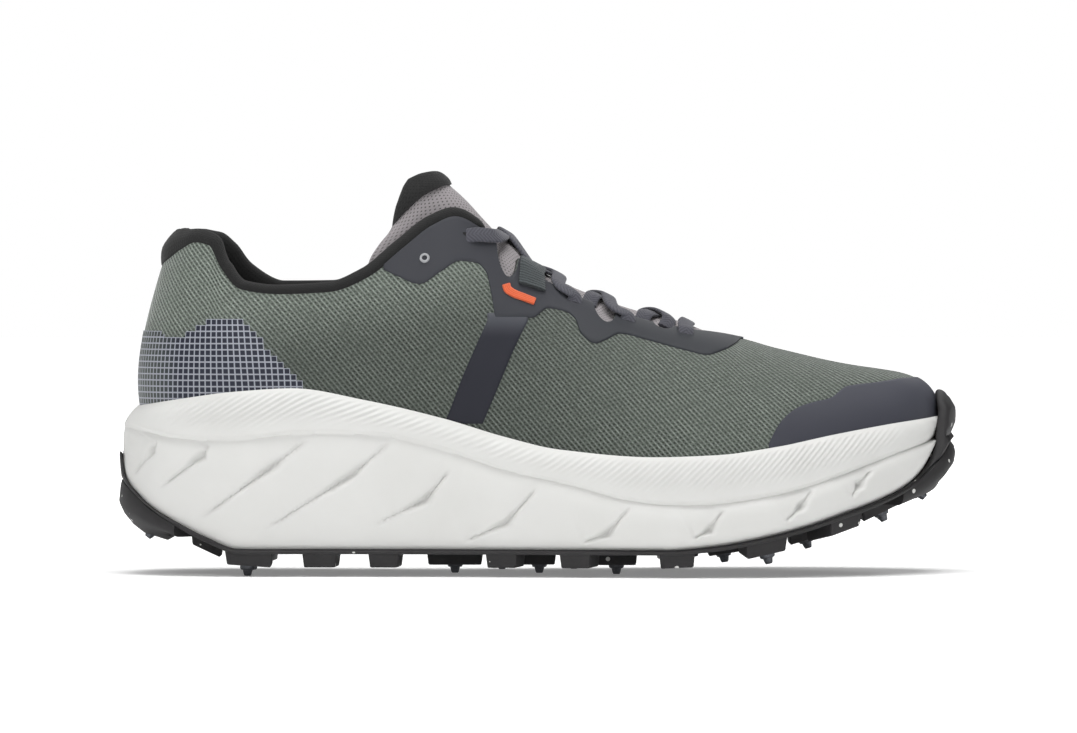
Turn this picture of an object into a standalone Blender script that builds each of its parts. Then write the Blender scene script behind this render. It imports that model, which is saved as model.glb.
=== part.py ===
"""Studded winter running shoe for the right foot, standing on its steel studs.

Lengths are millimetres in this file and become metres where each mesh is made.
+X points to the toe, -Y to the outer (lateral) side and +Z up, with the floor at z = 0.

The upper is one smooth surface, wall(p, s). p runs from 0 at the heel to 1 at the toe along the
lateral side and on to 2 back along the medial side. s runs from 0 at the sole to 1 at the top edge.
Overlays, cup and tongue are set off from that surface, so they follow the same last.
"""

import math

import bmesh
import bpy
import numpy as np

MM = 0.001
UP = np.array((0.0, 0.0, 1.0))
HALVINGS = 24

# Driving sizes
GAP = 0.35
UPPER_WALL = 2.0
OVERLAY_LIFT = 0.5
OVERLAY_THICKNESS = 0.8
OVERLAY_FACE = OVERLAY_LIFT + OVERLAY_THICKNESS
INSOLE_THICKNESS = 4.0
OUTSOLE_BASE = 2.0
LUG_DEPTH = 4.85
LUG_DRAFT = 1.2
STUD_PROUD = 2.3
STUD_RADIUS = 1.9
STUD_TIP_RADIUS = 1.25
STUD_SEAT = 3.0
LIP_THICKNESS = 1.2
LACE_WIDTH = 5.2
LACE_THICKNESS = 1.3
LOOP_WIDTH = 9.0
LOOP_THICKNESS = 1.2
EYELET_RADIUS = 1.85
EYELET_HOLE_RADIUS = 0.9
EYELET_THICKNESS = 0.7
EYELET_CHAMFER = 0.3
SLASH_WIDTH = 3.0
SLASH_DEPTH = 1.5
LOWER_INSET = 3.0
LUG_INSET = 1.6
BASE_INSET = 1.2
RIM_CLEARANCE = 0.7
STUD_SHOULDER = 0.9
POCKET_MOUTH = 2.0
STUD_SIDES = 8
EYELET_SIDES = 10
AXIS_Y = 2.5
THROAT_FRONT = 0.72
COLLAR_END = 0.425

# Columns of the surface in each stretch from heel to toe
ZONES = ((0.0, 0.06, 4), (0.06, 0.21, 7), (0.21, 0.34, 4), (0.34, 0.46, 4),
         (0.46, 0.72, 10), (0.72, 0.90, 4), (0.90, 1.0, 7))
UPPER_ROWS = (0.0, 0.16, 0.34, 0.54, 0.74, 0.89, 1.0)
STATIONS = np.concatenate([np.linspace(a, b, n, endpoint=False) for a, b, n in ZONES] + [[1.0]])
AROUND = np.concatenate((STATIONS, 2 - STATIONS[-2:0:-1]))


def table(names, *rows):
    """Return a short table as one array for each named column."""
    return dict(zip(names.split(), np.array(rows, dtype=float).T))


def each_row(of_table):
    """The rows of a table, each by its column names."""
    return [dict(zip(of_table, values)) for values in zip(*of_table.values())]


# Outline of the upper where it meets the cup's floor
FOOTPRINT = table(
    "t     x_lateral y_lateral x_medial y_medial",
    (0.00, -139.5, 2.5, -139.5, 2.5),
    (0.08, -129.5, -20.0, -129.5, 24.5),
    (0.15, -109.0, -30.0, -109.0, 33.5),
    (0.25, -76.0, -31.5, -77.0, 33.0),
    (0.39, -31.0, -35.0, -32.0, 32.0),
    (0.53, 14.0, -42.0, 14.0, 37.5),
    (0.65, 53.0, -47.5, 52.0, 45.0),
    (0.76, 88.0, -44.0, 88.0, 47.5),
    (0.86, 117.0, -30.5, 117.0, 41.5),
    (0.94, 135.0, -11.5, 136.0, 27.5),
    (1.00, 141.0, 9.5, 141.0, 9.5),
)

# Top edge: collar to t 0.425, throat to t 0.72, then the ridge of the vamp
TOPLINE = table(
    "t      x       y_lateral y_medial z_lateral z_medial",
    (0.000, -134.5, 2.5, 2.5, 110.5, 110.5),
    (0.030, -132.6, -6.0, 11.0, 112.3, 112.3),
    (0.060, -127.5, -13.0, 18.0, 116.0, 116.0),
    (0.090, -121.8, -18.0, 23.0, 118.7, 118.7),
    (0.120, -116.8, -21.3, 26.3, 117.6, 118.5),
    (0.145, -112.0, -23.5, 28.5, 109.0, 115.5),
    (0.175, -105.0, -25.8, 30.8, 101.9, 108.0),
    (0.210, -92.0, -27.3, 32.3, 100.3, 101.5),
    (0.260, -74.0, -27.0, 32.0, 100.1, 100.4),
    (0.300, -61.0, -25.5, 30.5, 106.0, 106.0),
    (0.340, -47.5, -22.5, 27.5, 116.8, 116.8),
    (0.370, -37.5, -20.0, 25.0, 124.5, 124.5),
    (0.395, -29.5, -18.3, 23.3, 127.6, 127.6),
    (0.425, -20.4, -16.8, 21.8, 123.5, 123.5),
    (0.460, -9.0, -15.0, 20.0, 114.5, 114.5),
    (0.500, 3.0, -13.5, 18.5, 104.5, 104.5),
    (0.550, 19.0, -12.0, 17.0, 97.0, 97.0),
    (0.610, 37.0, -10.0, 16.0, 90.8, 90.8),
    (0.660, 54.0, -7.0, 14.0, 87.2, 87.2),
    (0.700, 66.5, -2.5, 9.5, 85.4, 85.4),
    (0.720, 72.0, 3.8, 3.8, 84.3, 84.3),
    (0.770, 86.0, 4.4, 4.4, 80.4, 80.4),
    (0.860, 103.0, 5.5, 5.5, 76.3, 76.3),
    (0.930, 113.0, 6.8, 6.8, 74.1, 74.1),
    (1.000, 117.5, 7.5, 7.5, 73.0, 73.0),
)

# Handles of each section's curve: rise and swell at the sole; reach, flare and drop at the top edge
WALL_SHAPE = table(
    "t     rise  swell reach flare drop",
    (0.00, 18.0, 8.0, 0.30, 7.0, 24.5),
    (0.15, 18.0, 4.5, 0.30, 5.0, 20.0),
    (0.25, 18.0, 4.0, 0.35, 3.0, 18.0),
    (0.39, 28.0, 4.0, 0.55, 3.0, 28.0),
    (0.53, 24.0, 4.0, 0.60, 1.0, 10.0),
    (0.65, 22.0, 4.0, 0.60, 0.0, 7.0),
    (0.76, 20.0, 3.5, 0.62, 0.0, 1.5),
    (0.86, 17.0, 4.0, 0.70, 0.0, 0.8),
    (1.00, 16.0, 5.0, 0.92, 0.0, 0.0),
)

# How far the midsole's side stands out from the footprint
FLARE = table(
    "t     out",
    (0.00, 9.3), (0.15, 9.0), (0.30, 8.0), (0.45, 7.0), (0.60, 6.3), (0.76, 6.0), (1.00, 5.0),
)

# Lines of the sole in side view
FOOTBED = table(
    "x      z",
    (-150, 50.0), (-100, 47.5), (-40, 43.0), (20, 34.0), (55, 30.5), (90, 33.5), (120, 40.0), (145, 47.0),
)
RIM = table(
    "x      z",
    (-142, 59.8), (-128, 62.3), (-106, 65.3), (-87, 66.4), (-61, 62.2), (-33, 55.7), (-11, 49.2),
    (8, 44.9), (41, 42.3), (63, 43.0), (84, 45.8), (104, 49.9), (125, 53.6), (142, 56.0),
)
STEP = table(
    "x      z",
    (-146, 52.3), (-125, 48.6), (-111, 48.3), (-84, 50.5), (-71, 50.8), (-57, 50.1), (-33, 44.8),
    (-15, 38.8), (15, 31.7), (30, 27.7), (46, 25.8), (57, 25.8), (83, 29.0), (104, 34.9), (125, 42.6),
    (142, 48.3),
)
UNDER = table(
    "x      z",
    (-149, 35.0), (-144, 30.0), (-135, 23.6), (-128, 19.8), (-117, 14.6), (-106, 9.5), (46, 9.5),
    (60, 10.6), (73, 12.6), (94, 17.6), (109, 22.6), (120, 26.5), (130, 31.5), (139, 38.0), (146, 44.0),
)

# Height of the outsole's upturned edge above the midsole's lower edge
UPTURN = table(
    "t     height",
    (0.00, 7.2), (0.03, 4.0), (0.06, 0.8), (0.90, 0.8), (0.94, 3.0), (0.957, 9.0), (0.971, 16.0),
    (0.986, 22.0), (1.00, 23.2),
)
# Inner and outer faces of that edge, measured out from the midsole's side
UPTURN_FACES = table(
    "t     inner outer",
    (0.00, 0.2, 1.1), (0.06, 0.0, 1.6), (0.90, 0.0, 1.6), (0.93, 0.8, 2.2), (0.95, 1.4, 3.0),
    (1.00, 1.1, 3.6),
)

# Edges of the overlays in side view
EYESTAY_EDGE = table(
    "x      z",
    (-56, 109.2), (-50, 106.3), (-42, 103.5), (-34.5, 107.9), (-27.6, 111.7), (-22, 111.0),
    (-18.5, 107.8), (-16.2, 98.0), (-15, 91.5), (-2, 91.5), (3.5, 94.8), (9.3, 93.8), (13.1, 91.2),
    (15.2, 86.0), (20.5, 82.4), (24, 83.6), (29, 85.8), (38.7, 83.6), (53.3, 79.7), (60, 78.3),
    (66.2, 80.0), (72, 82.3), (78, 84.5),
)
TOE_CAP_EDGE = table(
    "x      z",
    (81, 46.5), (84.8, 53.6), (88.1, 57.3), (92.4, 60.1), (97.4, 61.7), (103.3, 63.0), (110, 67.2),
    (119.6, 68.3), (130, 69.8),
)
COUNTER_EDGE = table(
    "x      z",
    (-140.3, 87.4), (-134.6, 85.9), (-128.2, 83.8), (-121, 88.1), (-113.8, 92.0), (-109.5, 92.0),
    (-101.3, 85.2), (-92.4, 75.5), (-84.1, 66.9),
)
STRAP = table(
    "z     x_rear x_front",
    (90.6, -18.0, -3.4), (81.3, -22.2, -8.0), (70.9, -26.7, -12.4), (59.5, -31.0, -17.2),
)

# Collar section: height, outward roll, padding towards the foot and how far the padding hangs inside
COLLAR = table(
    "t     height roll pad  hang",
    (0.000, 14.0, 1.8, 6.0, 9.0),
    (0.050, 10.5, 1.4, 6.0, 9.0),
    (0.090, 7.0, 0.9, 6.0, 9.0),
    (0.145, 6.2, 0.7, 5.8, 9.0),
    (0.200, 3.6, 0.6, 5.4, 9.0),
    (0.300, 3.4, 0.6, 4.6, 7.0),
    (0.370, 3.2, 0.6, 3.4, 5.0),
    (0.425, 3.0, 0.6, 3.0, 3.0),
)

# Free end of the tongue above the throat, as centre line and side edge
TONGUE_END = table(
    "x_centre z_centre x_edge half_width z_edge",
    (-21.5, 127.0, -36.0, 16.0, 114.0),
    (-27.5, 133.5, -45.5, 16.5, 118.0),
    (-31.5, 138.0, -50.0, 15.5, 126.5),
)
TONGUE_TIP = table(
    "x_centre z_centre x_edge half_width z_edge",
    (-31.9, 138.5, -50.2, 15.4, 127.2),
    (-33.2, 141.0, -49.6, 13.5, 134.5),
    (-36.0, 143.0, -48.0, 10.5, 139.5),
    (-39.5, 143.8, -45.0, 6.5, 142.2),
)

# Lugs along both edges of the outsole, and lugs down its middle
EDGE_LUGS = table(
    "x_rear x_front depth",
    (-111.0, -93.9, 24), (-83.4, -71.2, 20), (-60.1, -49.1, 18), (-18.6, -7.5, 20), (7.5, 18.5, 22),
    (42.6, 55.3, 26), (73.4, 88.1, 26), (103.6, 114.8, 22),
)
MIDDLE_LUGS = table(
    "x_rear x_front y_lateral y_medial",
    (-144.0, -130.5, -14, 19), (-124.0, -113.0, -8, 13), (-39.7, -19.5, -13, 17), (-7.0, 6.6, -12, 13),
    (19.0, 35.5, -17, 15), (60.5, 72.5, -13, 17), (89.5, 102.8, -14, 18), (115.5, 129.5, -17, 27),
    (131.2, 143.0, -6, 21),
)
STUDS = table(
    "x      y",
    (-137.5, -7.0), (-137.5, 12.0), (-103.0, -27.0), (-103.0, 31.0), (-29.7, 2.0), (-13.0, 36.0),
    (0.5, 0.5), (28.0, -11.0), (13.0, 39.0), (49.0, 45.0), (66.5, 2.0), (80.9, -42.0), (80.9, 43.0),
    (96.0, 2.0), (122.5, -8.0), (122.5, 17.0), (136.5, 8.0),
)

# Slanted cuts in the midsole's side: upper end, knee and lower end
SLASHES = table(
    "x_top  z_top x_knee z_knee x_end  z_end",
    (-116.7, 46.6, -122.5, 40.6, -135.3, 30.8),
    (-81.6, 48.4, -94.3, 38.4, -121.2, 19.8),
    (-52.0, 47.6, -63.4, 40.1, -99.2, 15.4),
    (-31.1, 37.6, -40.0, 27.0, -56.6, 19.3),
    (-0.2, 31.7, -11.5, 19.3, -26.9, 12.4),
    (32.5, 25.0, 24.2, 15.6, 14.7, 12.2),
    (65.4, 24.0, 60.5, 17.0, 54.4, 13.8),
    (97.0, 31.0, 93.3, 25.2, 87.0, 19.6),
    (118.5, 37.6, 114.3, 32.6, 111.0, 28.0),
)

# Lace holes: place along the throat, up the section, and where the lace crosses the throat's edge
LACE_ROWS = table(
    "t      s     t_edge",
    (0.655, 0.93, 0.655),
    (0.592, 0.93, 0.596),
    (0.530, 0.93, 0.534),
    (0.478, 1.00, 0.478),
    (0.411, 0.93, 0.449),
)
EDGE_S = 0.99
LOOP_ROW = 3
LOOP_SHARE = 0.55
LOOP_ROOT = 0.93
LOOP_RISE = 1.6
LOOP_LACE_RISE = 1.9
LACE_CROWN = 3.0
LACE_START_SHARE = 0.32
LACE_START_RISE = 0.3
BAND_CLEARANCE = 0.4
THROAT_UP = np.array((0.45, 0.0, 0.89))
TAG_REAR = (-11.5, 103.3)
TAG_FRONT = (-1.2, 98.6)
TAG_HEIGHT = 3.0
EYELET_PLACE = (-40.2, 112.6)

# Colour as sRGB hex, roughness and metallic value of each material
FINISHES = {
    "black_rubber": ("3B3A3B", 0.75, 0.0),
    "white_foam": ("E6E6E4", 0.7, 0.0),
    "dark_textile": ("2F2F2F", 0.9, 0.0),
    "green_mesh": ("5C645C", 0.85, 0.0),
    "grey_film": ("4B4D52", 0.55, 0.0),
    "navy_film": ("303139", 0.55, 0.0),
    "toe_film": ("4F4F59", 0.6, 0.0),
    "grid_film": ("8E8F98", 0.6, 0.0),
    "grey_knit": ("9D989A", 0.9, 0.0),
    "lace_weave": ("4A4A50", 0.85, 0.0),
    "orange_tab": ("F0774F", 0.6, 0.0),
    "stud_steel": ("55565A", 0.4, 1.0),
    "eyelet_grey": ("B9BABC", 0.5, 0.0),
}


def hermite(knots, values, slopes, at):
    """Read a cubic curve through the knots, with the given slope at each."""
    at = np.clip(at, knots[0], knots[-1])
    k = np.clip(np.searchsorted(knots, at, side="right") - 1, 0, len(knots) - 2)
    span = knots[k + 1] - knots[k]
    u = (at - knots[k]) / span
    rest = 1 - u
    start = (1 + 2 * u) * rest ** 2 * values[k] + u * rest ** 2 * span * slopes[k]
    return start + u ** 2 * (3 - 2 * u) * values[k + 1] - u ** 2 * rest * span * slopes[k + 1]


def flowing(knots, values):
    """Slopes for a curve that flows smoothly through its rows."""
    return np.gradient(values, knots)


def level(knots, values):
    """Slopes for a curve that never rises above or falls below its rows."""
    grade = np.diff(values) / np.diff(knots)
    before, after = grade[:-1], grade[1:]
    same = before * after > 0
    total = np.where(same, before + after, 1.0)
    inner = np.where(same, 2 * before * after / total, 0.0)
    return np.concatenate((grade[:1], inner, grade[-1:]))


def line(curve, x):
    """Height of a side-view line at x."""
    return hermite(curve["x"], curve["z"], level(curve["x"], curve["z"]), x)


def along(curve, column, p):
    """A column that both sides share, read at p."""
    t = np.minimum(np.mod(p, 2), 2 - np.mod(p, 2))
    return hermite(curve["t"], curve[column], level(curve["t"], curve[column]), t)


def around(curve, lateral, medial, p, slopes):
    """A pair of lateral and medial columns read as one closed ring at p."""
    t = curve["t"]
    knots = np.concatenate((t, 2 - t[-2:0:-1]))
    values = np.concatenate((curve[lateral], curve[medial][-2:0:-1]))
    knots = np.concatenate((knots[-3:] - 2, knots, knots[:3] + 2))
    values = np.concatenate((values[-3:], values, values[:3]))
    return hermite(knots, values, slopes(knots, values), np.mod(p, 2))


def unit(vectors):
    """Vectors brought to length one."""
    return vectors / np.linalg.norm(vectors, axis=-1, keepdims=True)


def foot(p):
    """Outline of the upper on the cup's floor."""
    x = around(FOOTPRINT, "x_lateral", "x_medial", p, flowing)
    y = around(FOOTPRINT, "y_lateral", "y_medial", p, flowing)
    return np.stack((x, y, line(FOOTBED, x)), axis=-1)


def top(p):
    """Top edge of the upper; both sides share the ridge in front of the throat."""
    def edge(q):
        x = around(TOPLINE, "x", "x", q, flowing)
        y = around(TOPLINE, "y_lateral", "y_medial", q, flowing)
        return np.stack((x, y, around(TOPLINE, "z_lateral", "z_medial", q, level)), axis=-1)
    p = np.mod(p, 2)
    own, other = edge(p), edge(2 - p)
    ridge = (np.minimum(p, 2 - p) >= THROAT_FRONT)[..., None]
    return np.where(ridge, (own + other) / 2, own)


def outward(p):
    """Level direction out of the footprint."""
    step = 1e-3
    run = foot(p + step) - foot(p - step)
    return unit(np.stack((run[..., 1], -run[..., 0], np.zeros_like(p)), axis=-1))


def wall(p, s):
    """Outer surface of the upper: one Bezier curve from the sole to the top edge at each p."""
    p, s = np.broadcast_arrays(np.asarray(p, float), np.asarray(s, float))
    rise, swell, reach, flare, drop = (
        around(WALL_SHAPE, name, name, p, flowing)[..., None]
        for name in ("rise", "swell", "reach", "flare", "drop")
    )
    low, high, out = foot(p), top(p), outward(p)
    lean = (low - high) * (1, 1, 0)
    first = low + swell * out + rise * UP
    second = high + reach * lean + flare * out - drop * UP
    s = s[..., None]
    r = 1 - s
    return r ** 3 * low + 3 * r ** 2 * s * first + 3 * r * s ** 2 * second + s ** 3 * high


def wall_normal(p, s):
    """Direction out of the upper's surface."""
    step = 2e-3
    s = np.clip(s, 0.004, 0.985)
    run = wall(np.asarray(p) + step, s) - wall(np.asarray(p) - step, s)
    climb = wall(p, s + step) - wall(p, s - step)
    return unit(np.cross(run, climb))


def skin(p, s, depth):
    """The upper's surface set off outwards by depth."""
    return wall(p, s) + depth * wall_normal(p, s)


def halved(low, high, short_of):
    """The place between low and high where short_of() turns false, found by halving."""
    for _ in range(HALVINGS):
        middle = (low + high) / 2
        short = short_of(middle)
        low, high = np.where(short, middle, low), np.where(short, high, middle)
    return (low + high) / 2


def height_on_wall(p, edge):
    """The s at which each section reaches a side-view line."""
    def below(s):
        point = wall(p, s)
        return point[..., 2] < edge(point[..., 0])
    return halved(np.zeros_like(p), np.ones_like(p), below)


def side_p(side, t):
    """Place around the shoe of t on one side: -1 lateral, 1 medial."""
    return t if side < 0 else 2 - t


def on_wall(side, x, z):
    """The p and s of the upper's point seen at x and z from one side."""
    x, z = np.broadcast_arrays(np.asarray(x, float), np.asarray(z, float))

    def s_at(t):
        return height_on_wall(side_p(side, t), lambda _: z)

    def behind(t):
        return wall(side_p(side, t), s_at(t))[..., 0] < x

    t = halved(np.zeros_like(x), np.ones_like(x), behind)
    return side_p(side, t), s_at(t)


def quads(ids, ring=False):
    """Faces of a grid of point numbers; a ring closes the first direction."""
    following = np.roll(ids, -1, axis=0) if ring else ids[1:]
    first = ids if ring else ids[:-1]
    return [
        (first[i, j], following[i, j], following[i, j + 1], first[i, j + 1])
        for i in range(len(first)) for j in range(ids.shape[1] - 1)
    ]


def material(name):
    """The named finish as a material, made on first use."""
    made = bpy.data.materials.get(name)
    if made:
        return made
    colour, roughness, metallic = FINISHES[name]
    made = bpy.data.materials.new(name)
    made.use_nodes = True
    shader = made.node_tree.nodes["Principled BSDF"]
    channels = [int(colour[i:i + 2], 16) / 255 for i in (0, 2, 4)]
    linear = [c / 12.92 if c <= 0.04045 else ((c + 0.055) / 1.055) ** 2.4 for c in channels]
    shader.inputs["Base Color"].default_value = (*linear, 1)
    shader.inputs["Roughness"].default_value = roughness
    shader.inputs["Metallic"].default_value = metallic
    return made


def add(name, points, faces, finish):
    """Make one object from points in millimetres, dropping points that no face uses."""
    points = np.asarray(points, float).reshape(-1, 3)
    used = np.unique(np.concatenate([np.asarray(face) for face in faces]))
    renumber = {old: new for new, old in enumerate(used)}
    mesh = bpy.data.meshes.new(name)
    mesh.from_pydata((points[used] * MM).tolist(), [], [[renumber[i] for i in face] for face in faces])
    mesh.materials.append(material(finish))
    mesh.shade_smooth()
    mesh.set_sharp_from_angle(angle=math.radians(35))
    made = bpy.data.objects.new(name, mesh)
    bpy.context.collection.objects.link(made)
    return made


def shell(outer, inner, faces):
    """Close a sheet between its outer and inner points; open edges get side walls."""
    outer, inner = outer.reshape(-1, 3), inner.reshape(-1, 3)
    shift = len(outer)
    directed = {(face[k - 1], face[k]) for face in faces for k in range(len(face))}
    sides = [(b, a, a + shift, b + shift) for a, b in directed if (b, a) not in directed]
    backs = [tuple(i + shift for i in reversed(face)) for face in faces]
    return np.concatenate((outer, inner)), list(faces) + backs + sorted(sides)


def cut(target, cutter, operation):
    """Apply a Boolean to the target's mesh and remove the cutter."""
    modifier = target.modifiers.new(operation.lower(), "BOOLEAN")
    modifier.operation = operation
    modifier.object = cutter
    graph = bpy.context.evaluated_depsgraph_get()
    mesh = bpy.data.meshes.new_from_object(target.evaluated_get(graph))
    target.modifiers.clear()
    target.data = mesh
    bpy.data.objects.remove(cutter)


def joined(solids):
    """Points and faces of several closed solids as one list."""
    points, faces, count = [], [], 0
    for solid_points, solid_faces in solids:
        points.append(np.asarray(solid_points, float).reshape(-1, 3))
        faces += [tuple(i + count for i in face) for face in solid_faces]
        count += len(points[-1])
    return np.concatenate(points), faces


def prism(rings):
    """A closed solid through rings of equal length; each ring runs clockwise seen along the rings."""
    rings = np.asarray(rings, float)
    count, sides = rings.shape[:2]
    ids = np.arange(count * sides).reshape(count, sides)
    faces = quads(np.concatenate((ids, ids[:, :1]), axis=1))
    return rings, faces + [tuple(ids[0]), tuple(ids[-1][::-1])]


def facing_out(points, faces):
    """Turn a closed solid's faces outwards."""
    mesh = bpy.data.meshes.new("turning")
    mesh.from_pydata(np.asarray(points).reshape(-1, 3).tolist(), [], faces)
    work = bmesh.new()
    work.from_mesh(mesh)
    bmesh.ops.recalc_face_normals(work, faces=work.faces)
    turned = [tuple(v.index for v in face.verts) for face in work.faces]
    work.free()
    bpy.data.meshes.remove(mesh)
    return points, turned


def cap(ring):
    """Triangles across a closed ring of columns, from each lateral column to its medial one."""
    count = len(ring)
    half = count // 2
    faces = [(ring[0], ring[1], ring[count - 1])]
    for k in range(1, half - 1):
        a, b, c, d = ring[k], ring[k + 1], ring[count - k - 1], ring[count - k]
        faces += [(a, b, c), (a, c, d)]
    return faces + [(ring[half - 1], ring[half], ring[half + 1])]


def flare_point(p, inset, z):
    """Point of the sole's side, in by inset from its widest line, at height z or on a line z(x)."""
    point = foot(p) + (along(FLARE, "out", p) - inset)[..., None] * outward(p)
    point[..., 2] = z(point[..., 0]) if callable(z) else z
    return point


def side_height(x, share):
    """Height on the midsole's side, from its lower edge at 0 to the step at 1."""
    return line(UNDER, x) + share * (line(STEP, x) - line(UNDER, x))


def midsole_rows(p):
    """Rows of the midsole's section, from the cup's floor over the lip and down the side."""
    at_rim = height_on_wall(p, lambda x: line(RIM, x))
    floor_edge = foot(p) + GAP * outward(p) - GAP * UP
    lip = skin(p, at_rim, GAP)
    lip_edge = lip + LIP_THICKNESS * outward(p) - 0.3 * UP
    band_foot = flare_point(p, 1.2, lambda x: line(STEP, x) + 1.2)
    band = 0.5 * (lip_edge + band_foot) + 0.9 * outward(p) + 0.9 * UP
    return [
        floor_edge,
        skin(p, at_rim * 0.5, GAP),
        lip,
        lip_edge,
        band,
        band_foot,
        flare_point(p, 2.0, lambda x: line(STEP, x)),
        flare_point(p, 1.0, lambda x: side_height(x, 0.88)),
        flare_point(p, -0.2, lambda x: side_height(x, 0.5)),
        flare_point(p, 1.0, lambda x: side_height(x, 0.15)),
        flare_point(p, LOWER_INSET, lambda x: side_height(x, 0.0)),
    ]


def closed_ring(rows):
    """A solid from rows of ring points, capped across its first and last rows."""
    points = np.stack(rows, axis=1)
    ids = np.arange(points.shape[0] * points.shape[1]).reshape(points.shape[:2])
    faces = [tuple(face[::-1]) for face in quads(ids, ring=True)]
    return points, faces + cap(ids[:, 0]) + [face[::-1] for face in cap(ids[:, -1])]


def beside(side, x, inset):
    """Places around the sole's side, in by inset from its widest line, at x."""
    x = np.asarray(x, float)

    def behind(t):
        return flare_point(side_p(side, t), inset, 0.0)[:, 0] < x

    return side_p(side, halved(np.full_like(x, 0.03), np.full_like(x, 0.97), behind))


def slash_cutter(side, row):
    """A wedge that follows one slanted cut, tapering out at both ends."""
    z = np.array([row["z_top"], row["z_knee"], row["z_end"]])
    p = beside(side, [row["x_top"], row["x_knee"], row["x_end"]], 0.0)
    place = flare_point(p, 0.4, z)
    out = outward(p)
    run = unit(np.gradient(place, axis=0))
    across = unit(np.cross(out, run))
    width = np.array([0.5, 1.0, 0.4])[:, None] * SLASH_WIDTH
    depth = np.array([0.6, 1.0, 0.5])[:, None] * SLASH_DEPTH
    bottom = place - depth * out
    clear = place + 2 * out
    rings = np.stack((bottom, clear + width * across, clear - width * across), axis=1)
    return facing_out(*prism(rings))


def make_midsole():
    """Foam cup with its rim band, step and slanted cuts."""
    midsole = add("midsole", *closed_ring(midsole_rows(AROUND)), "white_foam")
    cutters = [slash_cutter(side, row) for side in (-1, 1) for row in each_row(SLASHES)]
    cut(midsole, add("slash_cutter", *joined(cutters), "white_foam"), "DIFFERENCE")


def outsole_rows(p):
    """Rows of the outsole's section: under the midsole, up its side, over and down to the base's edge."""
    rows = midsole_rows(p)[:2:-1]
    above = [
        skin(p, height_on_wall(p, lambda x: line(RIM, x) + rise), OVERLAY_FACE + GAP)
        for rise in (3.0, 12.0)
    ]
    side = np.stack(rows + above, axis=1)
    inner = along(UPTURN_FACES, "inner", p)
    outer = along(UPTURN_FACES, "outer", p)
    height = along(UPTURN, "height", p)
    edge = flare_point(p, LOWER_INSET, lambda x: line(UNDER, x) - GAP)
    lower_edge, low, middle, band = (rows[k][:, 2] for k in (0, 1, 2, 6))

    def climbed(climb, offset):
        z = lower_edge + climb
        place = np.array([
            [np.interp(z[k], side[k, :, 2], side[k, :, axis]) for axis in range(3)] for k in range(len(p))
        ])
        return place + (GAP + offset)[:, None] * outward(p)

    low_climb = np.minimum(low - lower_edge, 0.4 * height)
    middle_climb = np.minimum(middle - lower_edge, 0.6 * height)
    return [
        edge,
        climbed(low_climb, inner),
        climbed(middle_climb, inner),
        climbed(np.minimum(band - lower_edge, 0.8 * height), inner),
        climbed(height, inner),
        climbed(height, 0.7 * outer),
        climbed(0.55 * height, outer),
        climbed(low_climb, outer),
        flare_point(p, BASE_INSET, lambda x: line(UNDER, x) - GAP - OUTSOLE_BASE),
    ]


def lug_face(x):
    """Height of the lugs' lower faces."""
    return line(UNDER, x) - GAP - OUTSOLE_BASE - LUG_DEPTH


def lug_block(corners):
    """A lug from its four corners on the base, narrowing downwards."""
    corners = np.asarray(corners, float)
    centre = corners.mean(axis=0)
    lower = corners + LUG_DRAFT * unit(centre - corners)
    root = line(UNDER, corners[:, 0]) - GAP - OUTSOLE_BASE * 0.5
    rings = [np.column_stack((corners, root)), np.column_stack((lower, lug_face(lower[:, 0])))]
    return facing_out(*prism(rings))


def edge_lug(side, row):
    """Corners of a lug whose outer end follows the outsole's edge."""
    p = beside(side, [row["x_rear"], row["x_front"]], LUG_INSET)
    outer = flare_point(p, LUG_INSET, 0.0)[:, :2]
    inner = outer - row["depth"] * outward(p)[:, :2]
    return [outer[0], outer[1], inner[1], inner[0]]


def stud_turning(x, y, radii, stations):
    """A turned pin along the outsole's normal at x and y; stations run down from the lug's face."""
    slope = line(UNDER, x + 0.5) - line(UNDER, x - 0.5)
    down = unit(np.array((slope, 0.0, -1.0)))
    sideways = np.array((0.0, 1.0, 0.0))
    across = np.cross(down, sideways)
    start = np.array((x, y, lug_face(x)))
    angles = np.arange(STUD_SIDES) * math.tau / STUD_SIDES
    ring = np.cos(angles)[:, None] * across + np.sin(angles)[:, None] * sideways
    rings = [start + station * down + radius * ring for radius, station in zip(radii, stations)]
    return facing_out(*prism(rings))


def make_outsole():
    """Rubber sheet with its upturned edge, lugs and stud pockets, and the studs in them."""
    outsole = add("outsole", *closed_ring(outsole_rows(AROUND)), "black_rubber")
    blocks = [lug_block(edge_lug(side, row)) for side in (-1, 1) for row in each_row(EDGE_LUGS)]
    for rear, front, lateral, medial in zip(*MIDDLE_LUGS.values()):
        blocks.append(lug_block([(rear, lateral), (front, lateral), (front, medial), (rear, medial)]))
    cut(outsole, add("lugs", *joined(blocks), "black_rubber"), "UNION")
    pocket_radius = STUD_RADIUS + GAP
    pockets = [
        stud_turning(x, y, (pocket_radius, pocket_radius), (-STUD_SEAT - GAP, POCKET_MOUTH))
        for x, y in zip(*STUDS.values())
    ]
    cut(outsole, add("pockets", *joined(pockets), "black_rubber"), "DIFFERENCE")
    for number, (x, y) in enumerate(zip(*STUDS.values()), 1):
        radii = (STUD_RADIUS, STUD_RADIUS, STUD_TIP_RADIUS)
        pin = stud_turning(x, y, radii, (-STUD_SEAT, STUD_SHOULDER, STUD_PROUD))
        add(f"stud_{number:02d}", *pin, "stud_steel")


def make_insole():
    """Removable insole on the cup's floor."""
    inset = UPPER_WALL + 2 * GAP
    columns = AROUND[::2]
    base = foot(columns) - inset * outward(columns) + GAP * UP
    crown = base - 0.8 * outward(columns) + INSOLE_THICKNESS * UP
    add("insole", *closed_ring([crown, base]), "dark_textile")


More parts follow.
